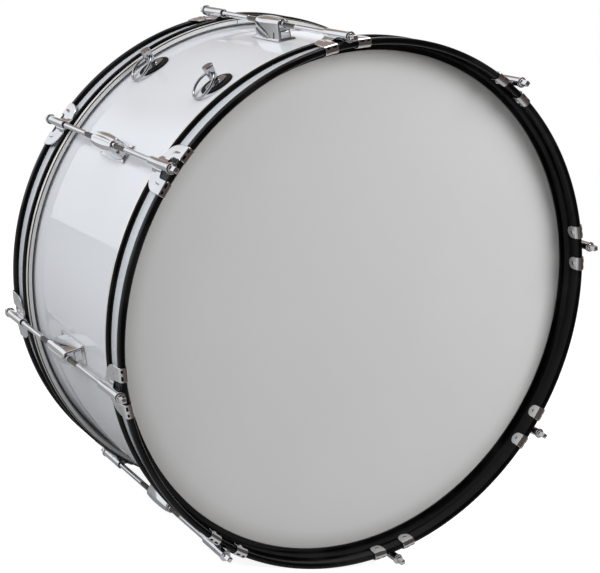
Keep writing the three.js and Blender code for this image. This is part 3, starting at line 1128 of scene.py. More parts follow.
@dataclass(frozen=True)
class FleshHoop:
    """The metal ring that holds a head's rim, with a rebate round its rear edge."""

    front_round: float = 0.7
    inner_round: float = 0.6
    rebate_width: float = 0.55
    rebate_depth: float = 0.9
    edge_round: float = 0.25
    steps: int = 480

    def surface(self) -> Surface:
        """A ring of rounded rectangular section, stepped where its wall was folded.

        Returns:
            A closed surface in millimetres.
        """
        rear, inner, outer = SIZE.flesh_rear, SIZE.flesh_inner, SIZE.flesh_outer
        step = outer - self.rebate_width
        profile = filleted(
            [
                (inner, SIZE.flesh_top, self.edge_round),
                (inner, rear, self.inner_round),
                (step, rear, self.edge_round),
                (step, rear + self.rebate_depth, 0.1),
                (outer, rear + self.rebate_depth, self.edge_round),
                (outer, SIZE.flesh_top, self.front_round),
            ]
        )
        return revolve(profile, self.steps).mapped(round_axis)

    def build(self, shop: Workshop) -> None:
        """Makes both flesh hoops."""
        shop.pair("flesh_hoop", self.surface(), Slot.FLESH_HOOP)


@dataclass(frozen=True)
class Hoop:
    """The lacquered hoop: a bead along each edge, a channel between them, and a lip inside, whose black at
    the head's edge also stands in for the shade where the head's collar drops out of sight.
    """

    rim_depth: float = 9.6
    cove: float = 0.9
    channel_round: float = 0.4
    edge: float = 0.5
    steps: int = 480

    def surface(self) -> Surface:
        """The hoop's profile turned about the drum's axis.

        Returns:
            A closed surface in millimetres.
        """
        bead, line, floor = SIZE.bead_radius, SIZE.bead_line, SIZE.hoop_floor
        front, rear = SIZE.hoop_front - bead, SIZE.hoop_rear + bead
        rim = line - bead
        rim_end = front - self.rim_depth
        upper = np.array([rim, rim_end])
        lower = np.array([SIZE.hoop_inner, SIZE.lip_top + 1.0])
        share = np.linspace(0, 1, 11)
        hollow = self.cove * np.sin(np.pi * share)
        cove = upper + np.outer(share, lower - upper) + np.outer(hollow, [1.0, 0.0])
        channel = filleted(
            [
                (line, rear + bead, 0),
                (floor, rear + bead, self.channel_round),
                (floor, SIZE.bead_shoulder - bead, self.channel_round),
                (line, SIZE.bead_shoulder - bead, 0),
            ]
        )[1:-1]
        # The lip's black band over the head's edge is partly a stand-in for shade, where the head's collar
        # lies in shadow.
        inside = filleted(
            [
                (SIZE.hoop_inner, SIZE.lip_top, self.edge),
                (SIZE.lip_inner, SIZE.lip_top, self.edge),
                (SIZE.lip_inner, SIZE.lip_under, self.edge),
                (SIZE.hoop_inner, SIZE.lip_under, 0.2),
                (SIZE.hoop_inner, SIZE.hoop_rear, self.edge),
                (line, SIZE.hoop_rear, 0),
                (line, SIZE.hoop_front, 0),
            ]
        )[:-2]
        profile = np.concatenate(
            [
                arc((line, rear), bead, -90, 90, 14),
                channel,
                arc((line, SIZE.bead_shoulder), bead, -90, 0, 8),
                arc((line, front), bead, 0, 180, 16),
                cove,
                inside,
            ]
        )
        return revolve(profile, self.steps).mapped(round_axis)

    def inlay(self) -> Surface:
        """The strip in the channel, with softly rounded edges.

        Returns:
            A closed surface in millimetres.
        """
        bead = SIZE.bead_radius
        inner = SIZE.hoop_floor + 0.3
        outer = inner + 0.9
        front = SIZE.bead_shoulder - bead - 0.3
        rear = SIZE.hoop_rear + 2 * bead + 0.3
        corners = [(inner, rear, 0), (outer, rear, 0.4), (outer, front, 0.4), (inner, front, 0)]
        return revolve(filleted(corners), self.steps).mapped(round_axis)

    def build(self, shop: Workshop) -> None:
        """Makes both hoops and their inlays.

        Args:
            shop: The workshop that makes the pieces.
        """
        hoop, inlay = self.surface(), self.inlay()
        for end in End:
            change = at_end(end)
            shop.piece(f"{end.value}_hoop", "drum", hoop.mapped(change), Slot.HOOP)
            shop.piece(f"{end.value}_hoop_inlay", "drum", inlay.mapped(change), Slot.INLAY)


@dataclass(frozen=True)
class Claw:
    """A tube on a winged plate whose two arms hook over the hoop's front bead.

    Each wing has a raised panel, and each arm two slots and a dimpled tab.
    """

    gap: float = 0.3
    plate: float = 1.3
    tail: float = 117.2
    notch: float = 138.4
    waist: float = 143.0
    reach: float = 27.2
    arm_inner: float = 11.8
    seam: float = 3.9
    tab_end: float = 137.4
    tab_round: float = 7.6
    panel_height: float = 0.9
    panel_share: float = 0.6
    panel_slope: float = 0.1
    panel_fade: float = 5.0
    dimple_height: float = 1.0
    dimple_radius: float = 1.8
    dimple_depth: float = 145.6
    gusset: float = 2.3
    tube_radius: float = 4.8
    bore: float = 3.4
    mouth_bore: float = 4.1
    slots: tuple[tuple[float, float], ...] = ((16.2, 4.6), (23.4, 3.2))
    slot_width: float = 2.3
    slot_lean: float = 60.0
    slot_round: float = 0.5
    slot_below: float = 0.5
    slot_above: float = 2.0
    wing_power: float = 2.3
    edge_round: float = 0.35
    tail_overrun: float = 0.6
    notch_round: float = 3.5
    tab_tip: float = 0.04
    tab_facing: float = -0.9
    gusset_start: float = 0.6
    gusset_end: float = 9.5
    tail_steps: int = 44
    notch_steps: int = 9
    arm_steps: int = 12
    bend_steps: int = 19
    straight_steps: int = 8
    tab_steps: int = 20
    across_steps: int = 41
    tube_steps: int = 40

    def path(self) -> tuple[Points, Points, NDArray[np.float64]]:
        """The plate's underside along the hoop, from tail to tab.

        Returns:
            Points of (depth, radius), outward normals, and the depth at which each point's
            width is read, which keeps growing past the bead so that the tab is told apart.
        """
        under = SIZE.bead_radius + self.gap
        front = SIZE.hoop_front - SIZE.bead_radius
        flat = np.concatenate(
            [
                np.linspace(self.tail, self.notch - 0.01, self.tail_steps),
                np.linspace(self.notch, self.notch + 4, self.notch_steps),
                np.linspace(self.notch + 4.5, front, self.arm_steps)[:-1],
            ]
        )
        turn = np.radians(np.linspace(0, 180, self.bend_steps))
        bend = np.sin(np.radians(np.linspace(0, 88, self.tab_steps)))
        rounding = self.tab_end + self.tab_round * (1 - bend)
        straight = np.linspace(front - 0.5, rounding[0], self.straight_steps)[:-1]
        tab = np.concatenate([straight, rounding])
        outer, inner = SIZE.bead_line + under, SIZE.bead_line - under
        points = np.concatenate(
            [
                np.stack([flat, np.full_like(flat, outer)], 1),
                np.stack([front + under * np.sin(turn), SIZE.bead_line + under * np.cos(turn)], 1),
                np.stack([tab, np.full_like(tab, inner)], 1),
            ]
        )
        normals = np.concatenate(
            [
                np.tile([0.0, 1.0], (len(flat), 1)),
                np.stack([np.sin(turn), np.cos(turn)], 1),
                np.tile([0.0, -1.0], (len(tab), 1)),
            ]
        )
        return points, normals, np.concatenate([flat, np.full(len(turn), front), 2 * front - tab])

    def widths(self, depth: float) -> tuple[float, float]:
        """How far from the middle the plate starts and ends at a depth.

        Args:
            depth: Depth from the drum's middle, which grows on past the bead for a tab.

        Returns:
            The inner and the outer distance.
        """
        span = self.waist - self.tail + self.tail_overrun
        share = max(0.0, (self.waist - depth) / span)
        power = self.wing_power
        outer = self.reach * (1 - share**power) ** (1 / power) if share < 1 else 0.0
        inner = self.seam
        if depth >= self.notch:
            corner = self.notch_round
            left = min(1.0, (depth - self.notch) / corner)
            inner = self.arm_inner - corner + corner * math.sqrt(max(0.0, 1 - (1 - left) ** 2))
        front = SIZE.hoop_front - SIZE.bead_radius
        tab = depth - (2 * front - self.tab_end - self.tab_round)
        if tab > 0:
            middle, half = (outer + inner) / 2, (outer - inner) / 2
            half *= max(self.tab_tip, math.sqrt(max(0.0, 1 - min(1.0, tab / self.tab_round) ** 2)))
            outer, inner = middle + half, middle - half
        return inner, outer

    def half_plate(self, side: int) -> Surface:
        """One wing and its arm, as a loft of rounded strips along the hoop's surface.

        Args:
            side: Which side it is made for, 1 or -1.

        Returns:
            A closed surface in millimetres.
        """
        points, normals, depths = self.path()
        across = np.linspace(0, 1, self.across_steps)
        power = self.wing_power
        sections = []
        for point, normal, depth in zip(points, normals, depths, strict=True):
            inner, outer = self.widths(float(depth))
            t = inner + (outer - inner) * across
            ease = np.minimum(t - inner, outer - t)
            near = 1 - np.clip(ease / self.edge_round, 0, 1)
            edge = self.edge_round * (1 - np.sqrt(np.clip(1 - near**2, 0, 1)))
            lift = np.zeros_like(t)
            bead = SIZE.hoop_front - SIZE.bead_radius
            if depth < bead:
                back = max(0.0, self.waist - depth) / (self.waist - self.tail)
                rho = ((t / self.reach) ** power + back**power) ** (1 / power)
                fade = float(smoothstep(0, self.panel_fade, np.array(bead - depth)))
                low, high = self.panel_share, self.panel_share + self.panel_slope
                lift = self.panel_height * (1 - smoothstep(low, high, rho)) * fade
            if normal[1] < self.tab_facing:
                middle = (self.arm_inner + self.reach) / 2
                down = self.dimple_depth - point[0]
                away = ((t - middle) ** 2 + down**2) / self.dimple_radius**2
                lift = self.dimple_height * np.exp(-away)
            if depth < self.notch:
                start = self.tube_radius - self.gusset_start
                raised = self.gusset * (1 - smoothstep(start, self.gusset_end, t))
                lift = np.maximum(lift, raised)
            over = self.plate + lift - edge
            low = np.clip(lift - 0.01, 0, None) + edge * 0.5
            height = np.concatenate([over, low[::-1]])
            spread = np.concatenate([t, t[::-1]])
            radius = point[1] + normal[1] * height
            along = -(point[0] + normal[0] * height)
            angle = side * spread / SIZE.hoop_radius
            sections.append(np.stack([radius * np.sin(angle), along, radius * np.cos(angle)], 1))
        return loft(np.array(sections))

    def tube(self) -> Surface:
        """The tube that the rod passes through, its bore widened at the inner end.

        Returns:
            A closed surface in millimetres.
        """
        inner, mouth = SIZE.claw_tube_end, SIZE.claw_mouth
        profile = filleted(
            [
                (self.tube_radius, inner, 0.5),
                (self.tube_radius, mouth, 0.6),
                (self.bore, mouth, 0.3),
                (self.bore, inner + 3.0, 0.3),
                (self.mouth_bore, inner + 2.2, 0.3),
                (self.mouth_bore, inner, 0.2),
            ]
        )
        return revolve(profile, self.tube_steps).mapped(on_rod_line(-1))

    def slotted(self, shop: Workshop) -> Surface:
        """The plates, with two slots cut through each arm where it rounds the bead.

        Args:
            shop: The workshop that makes the pieces.

        Returns:
            A closed surface in millimetres.
        """
        plates = self.half_plate(1).plus(self.half_plate(-1))
        lean = math.radians(self.slot_lean)
        direction = np.array([0, -math.sin(lean), math.cos(lean)])
        along = np.array([0, math.cos(lean), math.sin(lean)])
        centre = np.array([0, SIZE.bead_radius - SIZE.hoop_front, SIZE.bead_line])
        bead = SIZE.bead_radius
        heights = (bead - self.slot_below, bead + self.plate + self.slot_above)
        cutters = []
        for side, (place, length) in itertools.product((-1, 1), self.slots):
            angle = side * place / SIZE.hoop_radius
            c, s = math.cos(angle), math.sin(angle)
            turn = np.array([[c, 0, -s], [0, 1, 0], [s, 0, c]])
            outline = filleted(box_corners(length / 2, self.slot_width / 2, self.slot_round))
            flat = np.outer(outline[:, 0], [1.0, 0, 0]) + np.outer(outline[:, 1], along)
            rings = [(flat + direction * height + centre) @ turn for height in heights]
            cutters.append(loft(np.array(rings)))
        return shop.cut("claw", plates, cutters[0].plus(*cutters[1:]))

    def build(self, shop: Workshop) -> None:
        """Makes all the claws.

        Args:
            shop: The workshop that makes the pieces.
        """
        whole = self.slotted(shop).plus(self.tube())
        for end in End:
            for number in range(1, STATIONS + 1):
                placed = whole.mapped(at_angle(station_degrees(number))).mapped(at_end(end))
                shop.piece(f"{end.value}_claw_{number}", "drum", placed, Slot.CHROME)


def surface_of(mesh: bpy.types.Mesh) -> Surface:
    """The faces of a mesh as a surface in millimetres.

    Args:
        mesh: The mesh to read.

    Returns:
        A closed surface in millimetres.
    """
    points = np.zeros(len(mesh.vertices) * 3)
    mesh.vertices.foreach_get("co", points)
    groups: dict[int, list[list[int]]] = {}
    for polygon in mesh.polygons:
        groups.setdefault(polygon.loop_total, []).append(list(polygon.vertices))
    faces = [np.array(group, np.int64) for group in groups.values()]
    return Surface(points.reshape(-1, 3) / MM, faces)


@dataclass(frozen=True)
class TensionRod:
    """A threaded rod with a round collar and a square key head."""

    radius: float = 3.0
    length: float = 141.0
    collar_radius: float = 5.8
    collar: float = 2.6
    boss_radius: float = 3.9
    boss: float = 1.5
    key_side: float = 5.4
    key: float = 10.0
    thread: float = 38.0
    pitch: float = 1.0
    depth: float = 0.45
    gap: float = 0.3
    lead_in: float = 0.4
    key_round: float = 0.5
    rows_per_pitch: int = 6
    thread_steps: int = 20
    shaft_steps: int = 36

    @property
    def seat(self) -> float:
        """The depth of the collar's underside."""
        return SIZE.claw_mouth + self.gap

    def thread_part(self) -> Surface:
        """A thread of radius R - d |2 frac(h/p - u) - 1| for turn u and height h.

        Returns:
            A closed surface in millimetres.
        """
        rows = int(self.thread / self.pitch * self.rows_per_pitch)
        columns = self.thread_steps
        bottom = self.seat - self.length
        height = bottom + np.linspace(0, self.thread, rows + 1)
        turn = np.arange(columns) / columns
        phase = (height[:, None] / self.pitch - turn[None, :]) % 1.0
        radius = self.radius - self.depth * np.abs(2 * phase - 1)
        radius[:2] -= self.lead_in
        radius[-2:] = self.radius - self.depth
        angle = 2 * np.pi * turn
        grid = np.stack(
            [
                radius * np.cos(angle),
                radius * np.sin(angle),
                np.broadcast_to(height[:, None], radius.shape),
            ],
            axis=-1,
        )
        return loft(grid)

    def shaft_part(self) -> Surface:
        """The plain shaft, the collar and a low boss below the key head.

        Returns:
            A closed surface in millimetres.
        """
        start = self.seat - self.length + self.thread
        profile = filleted(
            [
                (0, start - 0.5, 0),
                (self.radius, start - 0.5, 0.4),
                (self.radius, self.seat, 0.4),
                (self.collar_radius, self.seat, 0.5),
                (self.collar_radius, self.seat + self.collar, 0.9),
                (self.boss_radius + 0.3, self.seat + self.collar, 0.2),
                (self.boss_radius, self.seat + self.collar + self.boss, 0.9),
                (0, self.seat + self.collar + self.boss, 0),
            ]
        )
        return revolve(profile, self.shaft_steps, closed=False)

    def key_part(self) -> Surface:
        """The square head, with rounded edges and a chamfered tip.

        Returns:
            A closed surface in millimetres.
        """
        half = self.key_side / 2
        rings = []
        base = self.seat + self.collar - 0.5
        tip = self.seat + self.collar + self.key
        for height, inset in ((base, 0.0), (tip - 1.1, 0.0), (tip - 0.5, 0.25), (tip, 0.95)):
            side = half - inset
            outline = filleted(box_corners(side, side, self.key_round), 3)
            rings.append(at_height(outline, height))
        return loft(np.array(rings))

    def build(self, shop: Workshop) -> None:
        """Makes all the rods, each on its own body.

        Args:
            shop: The workshop that makes the pieces.
        """
        whole = self.thread_part().plus(self.shaft_part(), self.key_part())
        local = whole.mapped(on_rod_line(-1))
        for end in End:
            for number in range(1, STATIONS + 1):
                name = f"{end.value}_tension_rod_{number}"
                placed = local.mapped(at_angle(station_degrees(number))).mapped(at_end(end))
                shop.piece(name, name, placed, Slot.CHROME, shop.rod_material)


@dataclass(frozen=True)
class Lug:
    """A cast lug: a flat foot, a swelling body with a flat crown, and a nut in each mouth."""

    base: float = 279.7
    top: float = 302.5
    flange_length: float = 61.0
    flange_width: float = 22.6
    flange: float = 2.0
    body_length: float = 53.0
    body_width: float = 20.2
    end_width: float = 14.6
    mouth_radius: float = 5.7
    mouth_depth: float = 3.4
    mouth_sill: float = 3.4
    step_height: float = 9.4
    socket_radius: float = 4.6
    socket_depth: float = 5.5
    nut_radius: float = 4.1
    nut_proud: float = 2.8
    bore: float = 3.3
    screw_spacing: float = 42.0
    screw_radius: float = 2.4
    screw_head_radius: float = 5.0
    screw_head: float = 3.5
    crown: float = 0.9
    crown_round: float = 6.0
    rib_width: float = 1.7
    rib_height: float = 0.5
    flare: float = 0.6
    fall: float = 1.2
    end_round: float = 1.7
    lean: float = 0.05
    lean_start: float = 0.6
    swell_power: float = 2.2
    body_lift: float = 0.3
    foot_round: float = 1.6
    step_half: float = 1.9
    mouth_reach: float = 8.0
    rib_fade: tuple[float, float] = (0.86, 0.78)
    rib_places: tuple[float, ...] = (-1.0, -0.9, -0.76, -0.65, 0.0, 0.65, 0.76, 0.9, 1.0)
    end_steps: int = 7
    middle_steps: int = 31
    socket_steps: int = 32
    nut_steps: int = 28
    screw_steps: int = 24

    def half_width(self, share: NDArray[np.float64]) -> NDArray[np.float64]:
        """Half the body's width at a share of its half length: w = e + (m - e)(1 - s^p)."""
        end, middle = self.end_width / 2, self.body_width / 2
        return end + (middle - end) * (1 - np.abs(share) ** self.swell_power)

    def section(self, share: float, shrink: float) -> Points:
        """A closed section of the body across Y, a rounded crown over flaring sides.

        Args:
            share: Place along the body, -1 and 1 at its ends.
            shrink: How much smaller the section is all round.

        Returns:
            The section's points across Y.
        """
        width = float(self.half_width(np.array(share))) - shrink
        top = self.top - shrink - self.fall * share * share
        crown = self.crown * width
        low = self.base + self.body_lift
        foot = width + self.flare
        bend = self.crown_round * width / self.body_width * 2
        corners = [
            (foot, low, 0.0),
            (crown, top, bend),
            (-crown, top, bend),
            (-foot, low, 0.0),
        ]
        outline = filleted(corners, 8)
        across = np.array(self.rib_places) * self.rib_width
        ease = smoothstep(0.0, 0.3, 1 - np.abs(across) / self.rib_width)
        fade = float(smoothstep(*self.rib_fade, np.array(abs(share))))
        rib = np.stack([-across, top + self.rib_height * fade * ease], 1)
        middle = int(np.argmax((outline[:, 0] < 0) & (outline[:, 1] > top - 1)))
        return np.concatenate([outline[:middle], rib, outline[middle:]])

    def body(self) -> Surface:
        """The body, a loft of crowned sections along Y with rounded ends that lean in.

        Returns:
            A closed surface in millimetres.
        """
        half = self.body_length / 2
        edge = self.end_round / half
        near = edge * (1 - np.cos(np.radians(np.linspace(0, 90, self.end_steps))))[:-1]
        middle = np.linspace(edge - 1, 1 - edge, self.middle_steps)
        shares = np.concatenate([near - 1, middle, (1 - near)[::-1]])
        sections = []
        for share in shares:
            soft = max(0.0, 1 - (1 - abs(share)) / edge)
            shrink = self.end_round * (1 - math.sqrt(max(0.0, 1 - soft * soft)))
            flat = self.section(float(share), shrink)
            steep = smoothstep(self.lean_start, 1.0, np.array(abs(share)))
            lean = -self.lean * np.sign(share) * (flat[:, 1] - self.base) * steep
            sections.append(np.stack([flat[:, 0], share * half + lean, flat[:, 1]], 1))
        return loft(np.array(sections))

    def foot(self) -> Surface:
        """The flange, two low steps with bevelled edges.

        Returns:
            A closed surface in millimetres.
        """
        x, y = self.flange_width / 2, self.flange_length / 2
        top = self.flange
        steps = [(0.0, 0.0), (top * 0.4, 0.0), (top * 0.5, 0.15), (top * 0.5, 0.7)]
        steps += [(top * 0.9, 0.8), (top, 1.0)]
        rings = []
        for height, inset in steps:
            outline = filleted(box_corners(x - inset, y - inset, self.foot_round))
            rings.append(at_height(outline, self.base + height))
        return loft(np.array(rings))

    def step(self, side: int) -> Surface:
        """The block that closes the lower part of each mouth.

        Args:
            side: Which side it is made for, 1 or -1.

        Returns:
            A closed surface in millimetres.
        """
        end = side * (self.body_length / 2 - self.mouth_depth / 2 + 0.3)
        top = self.step_height
        rings = []
        for height, inset in ((0.5, 0.0), (top - 0.4, 0.0), (top, 0.4)):
            corners = box_corners(self.mouth_radius - 0.4 - inset, self.step_half - inset, 0.4)
            outline = filleted(corners) + [0.0, end]
            rings.append(at_height(outline, self.base + height))
        return loft(np.array(rings))

    def mouth_cutter(self, side: int) -> Surface:
        """What is cut from each end: an arched recess, and a round socket for the nut.

        Args:
            side: Which side it is made for, 1 or -1.

        Returns:
            A closed surface in millimetres.
        """
        end = self.body_length / 2
        top = arc((0, SIZE.rod_circle), self.mouth_radius, 0, 180, 20)
        low = self.base + self.mouth_sill
        outline = np.concatenate([top, [[-self.mouth_radius, low], [self.mouth_radius, low]]])
        rings = []
        for along in (end - self.mouth_depth, end + self.mouth_reach):
            rings.append(np.insert(outline, 1, side * along, axis=1))
        reach = end - self.socket_depth
        socket = np.array([[0, reach], [self.socket_radius, reach]])
        socket = np.concatenate([socket, [[self.socket_radius, end - 1], [0, end - 1]]])
        bored = revolve(socket, self.socket_steps, closed=False).mapped(on_rod_line(side))
        return loft(np.array(rings)).plus(bored)

    def nut(self, side: int) -> Surface:
        """The threaded nut that sits in a mouth, with a domed face.

        Args:
            side: Which side it is made for, 1 or -1.

        Returns:
            A closed surface in millimetres.
        """
        face = self.body_length / 2 + self.nut_proud
        back = self.body_length / 2 - self.mouth_depth - 1.0
        profile = filleted(
            [
                (self.bore, back, 0),
                (self.bore, face, 0.2),
                (self.nut_radius, face, 1.4),
                (self.nut_radius, back, 0),
            ]
        )
        return revolve(profile, self.nut_steps).mapped(on_rod_line(side))

    def screw(self, place: float) -> Surface:
        """A fixing screw with a rounded head inside the shell.

        Args:
            place: Where it lies along Y.

        Returns:
            A closed surface in millimetres.
        """
        face = SIZE.shell_inner - 0.3
        profile = filleted(
            [
                (0, face - self.screw_head, 0),
                (self.screw_head_radius, face - self.screw_head, 1.4),
                (self.screw_head_radius, face, 0.2),
                (self.screw_radius, face, 0),
                (self.screw_radius, self.base + 1.0, 0),
                (0, self.base + 1.0, 0),
            ]
        )
        return revolve(profile, self.screw_steps, closed=False).mapped(lambda p: p + [0, place, 0])

    def casting(self, shop: Workshop) -> Surface:
        """The body with both mouths cut in it."""
        return shop.cut("lug", self.body(), self.mouth_cutter(1).plus(self.mouth_cutter(-1)))

    def build(self, shop: Workshop) -> None:
        """Makes all the lugs.

        Args:
            shop: The workshop that makes the pieces.
        """
        half = self.screw_spacing / 2
        whole = self.casting(shop).plus(
            self.foot(),
            *(self.nut(side) for side in (-1, 1)),
            *(self.step(side) for side in (-1, 1)),
            *(self.screw(side * half) for side in (-1, 1)),
        )
        for number in range(1, STATIONS + 1):
            placed = whole.mapped(at_angle(station_degrees(number)))
            shop.piece(f"lug_{number}", "drum", placed, Slot.CHROME)


@dataclass(frozen=True)
class SlingEye:
    """A post through the shell with a round pad below it and a free ring through it."""

    pad_length: float = 36.0
    pad_width: float = 32.0
    pad: float = 1.7
    foot_length: float = 26.0
    foot_width: float = 15.0
    foot: float = 1.0
    gap: float = 0.3
    post_height: float = 22.5
    foot_radius: float = 4.3
    waist_radius: float = 5.2
    top_radius: float = 5.9
    top: float = 2.0
    hole_radius: float = 2.45
    stud_radius: float = 3.0
    stud_end: float = 2.0
    nut_radius: float = 5.8
    nut: float = 5.0
    ring_radius: float = 15.0
    wire_radius: float = 1.5
    lean: float = 25.478
    hole_reach: float = 9.0
    patch_shoulder: float = 0.3
    patch_rows: tuple[float, ...] = (0.8, 0.6)
    patch_steps: int = 72
    post_steps: int = 48
    hole_steps: int = 32
    ring_steps: int = 96
    wire_steps: int = 16

    def patch(
        self, length: float, width: float, inner: float, thickness: float, soft: float, hole: float
    ) -> Surface:
        """An oval that follows the shell, round a hole in its middle.

        Args:
            length: Its size round the shell.
            width: Its size along Y.
            inner: Radius of its underside from the drum's axis.
            thickness: How thick it is.
            soft: How far its upper edge is rounded.
            hole: Radius of the hole.

        Returns:
            A closed surface in millimetres.
        """
        sections = []
        outline = np.linspace(0, 2 * np.pi, self.patch_steps, endpoint=False)
        shoulder = soft * self.patch_shoulder
        profile = [
            (1.0, 0.0, 0.0),
            (1.0, 0.0, thickness - soft),
            (1.0, shoulder, thickness - shoulder),
            (1.0, soft, thickness),
        ]
        profile += [(share, soft, thickness) for share in self.patch_rows]
        rings = []
        for share, inset, height in profile:
            rings.append((length / 2 * share - inset, width / 2 * share - inset, height))
        rings += [(hole, hole, thickness), (hole, hole, 0.0)]
        for across, along, height in rings:
            angle = across * np.cos(outline) / SIZE.shell_radius
            radius = inner + height
            row = [radius * np.sin(angle), along * np.sin(outline), radius * np.cos(angle)]
            sections.append(np.stack(row, 1))
        return loft(np.array(sections), capped=False)

    def post(self, shop: Workshop) -> Surface:
        """The waisted post with its cross hole, on an oval foot, with a stud below.

        Args:
            shop: The workshop that makes the pieces.

        Returns:
            A closed surface in millimetres.
        """
        base = SIZE.shell_radius + 2 * self.gap + self.pad
        top = SIZE.shell_radius + self.post_height
        stud_end = SIZE.shell_inner - self.gap - self.nut - self.stud_end
        profile = filleted(
            [
                (0, stud_end, 0),
                (self.stud_radius, stud_end, 0.5),
                (self.stud_radius, base + self.foot / 2, 0),
                (self.foot_radius + 0.9, base + self.foot / 2, 0),
                (self.foot_radius + 0.9, base + self.foot + 0.6, 0.4),
                (self.foot_radius, base + self.foot + 1.6, 1.0),
                (self.waist_radius, SIZE.sling_pivot, 6.0),
                (self.top_radius, top - self.top, 1.0),
                (self.top_radius, top, 0.5),
                (0, top, 0),
            ]
        )
        solid = revolve(profile, self.post_steps, closed=False)
        far, wide = self.hole_reach, self.hole_radius
        outline = np.array([[0.0, -far], [wide, -far], [wide, far], [0.0, far]])
        hole = revolve(outline, self.hole_steps, closed=False).mapped(
            lambda p: np.stack([p[:, 0], p[:, 2], p[:, 1] + SIZE.sling_pivot], 1)
        )
        found = shop.cut("post", solid, hole)
        plate = self.patch(self.foot_length, self.foot_width, base, self.foot, 0.8, self.stud_radius - 0.1)
        return found.plus(plate)

    def ring(self) -> Surface:
        """A torus P(u, v) = ((R + w cos v) cos u, (R + w cos v) sin u, w sin v), leaning on the shell.

        Returns:
            A closed surface in millimetres.
        """
        section = arc((0, 0), self.wire_radius, 0, 360, self.wire_steps)[:-1]
        sections = []
        lean = math.radians(self.lean)
        for turn in np.linspace(0, 2 * np.pi, self.ring_steps, endpoint=False):
            out = np.array([math.cos(turn), math.sin(turn)])
            radius = self.ring_radius + section[:, 0]
            x = radius * out[0] - self.ring_radius
            y = radius * out[1]
            z = section[:, 1]
            sections.append(
                np.stack(
                    [
                        x * math.cos(lean) - z * math.sin(lean),
                        y,
                        x * math.sin(lean) + z * math.cos(lean) + SIZE.sling_pivot,
                    ],
                    1,
                )
            )
        return loft(np.array(sections), capped=False)

    def hexagon_nut(self) -> Surface:
        """The nut inside the shell: a hexagon with rounded corners round the stud.

        Returns:
            A closed surface in millimetres.
        """
        face = SIZE.shell_inner - self.gap
        turn = math.pi / 3
        wide = self.nut_radius
        hexagon = [(wide * math.cos(i * turn), wide * math.sin(i * turn), 0.3) for i in range(6)]
        outline = filleted(hexagon, 2)
        inside = arc((0, 0), self.stud_radius + 0.25, 0, 360, len(outline))[:-1]
        start = math.atan2(outline[0, 1], outline[0, 0])
        c, s = math.cos(start), math.sin(start)
        inside = inside @ np.array([[c, s], [-s, c]])
        rings = [
            np.column_stack([flat, np.full(len(flat), height)])
            for flat, height in (
                (outline, face - self.nut + 0.5),
                (outline, face),
                (inside, face),
                (inside, face - self.nut),
                (outline * 0.93, face - self.nut),
            )
        ]
        return loft(np.array(rings), capped=False)

    def build(self, shop: Workshop) -> None:
        """Makes both sling eyes, each ring on its own body.

        Args:
            shop: The workshop that makes the pieces.
        """
        base = SIZE.shell_radius + self.gap
        pad = self.patch(self.pad_length, self.pad_width, base, self.pad, 0.7, self.stud_radius + 0.4)
        post, ring = self.post(shop), self.ring()
        nut = self.hexagon_nut()
        for end, along in SIZE.sling_places.items():
            place = at_angle(SIZE.sling_angle)
            pieces = {
                "sling_gasket": (pad, Slot.RUBBER, "drum"),
                "sling_post": (post, Slot.CHROME, "drum"),
                "sling_nut": (nut, Slot.STEEL, "drum"),
                "sling_ring": (ring, Slot.CHROME, f"{end.value}_sling_ring"),
            }
            for name, (surface, slot, body) in pieces.items():
                moved = surface.mapped(lambda p, y=along: p + [0, y, 0]).mapped(place)
                material = shop.eye_material if slot is Slot.CHROME else None
                shop.piece(f"{end.value}_{name}", body, moved, slot, material)


# Studio


@dataclass(frozen=True)
class Lamp:
    """A square softbox that faces the drum's middle, its place in metres."""

    name: str
    place: tuple[float, float, float]
    size: float
    power: float
    mirrored: bool = True

    def build(self) -> None:
        """Makes the lamp. One that isn't mirrored lights surfaces but shows in none."""
        data = bpy.data.lights.new(self.name, "AREA")
        data.shape = "SQUARE"
        data.size = self.size
        data.energy = self.power
        lamp = bpy.data.objects.new(self.name, data)
        lamp.location = self.place
        aim = Vector((0, 0, SIZE.hoop_radius * MM)) - Vector(self.place)
        lamp.rotation_euler = aim.to_track_quat("-Z", "Y").to_euler()
        lamp.visible_glossy = self.mirrored
        show(lamp)


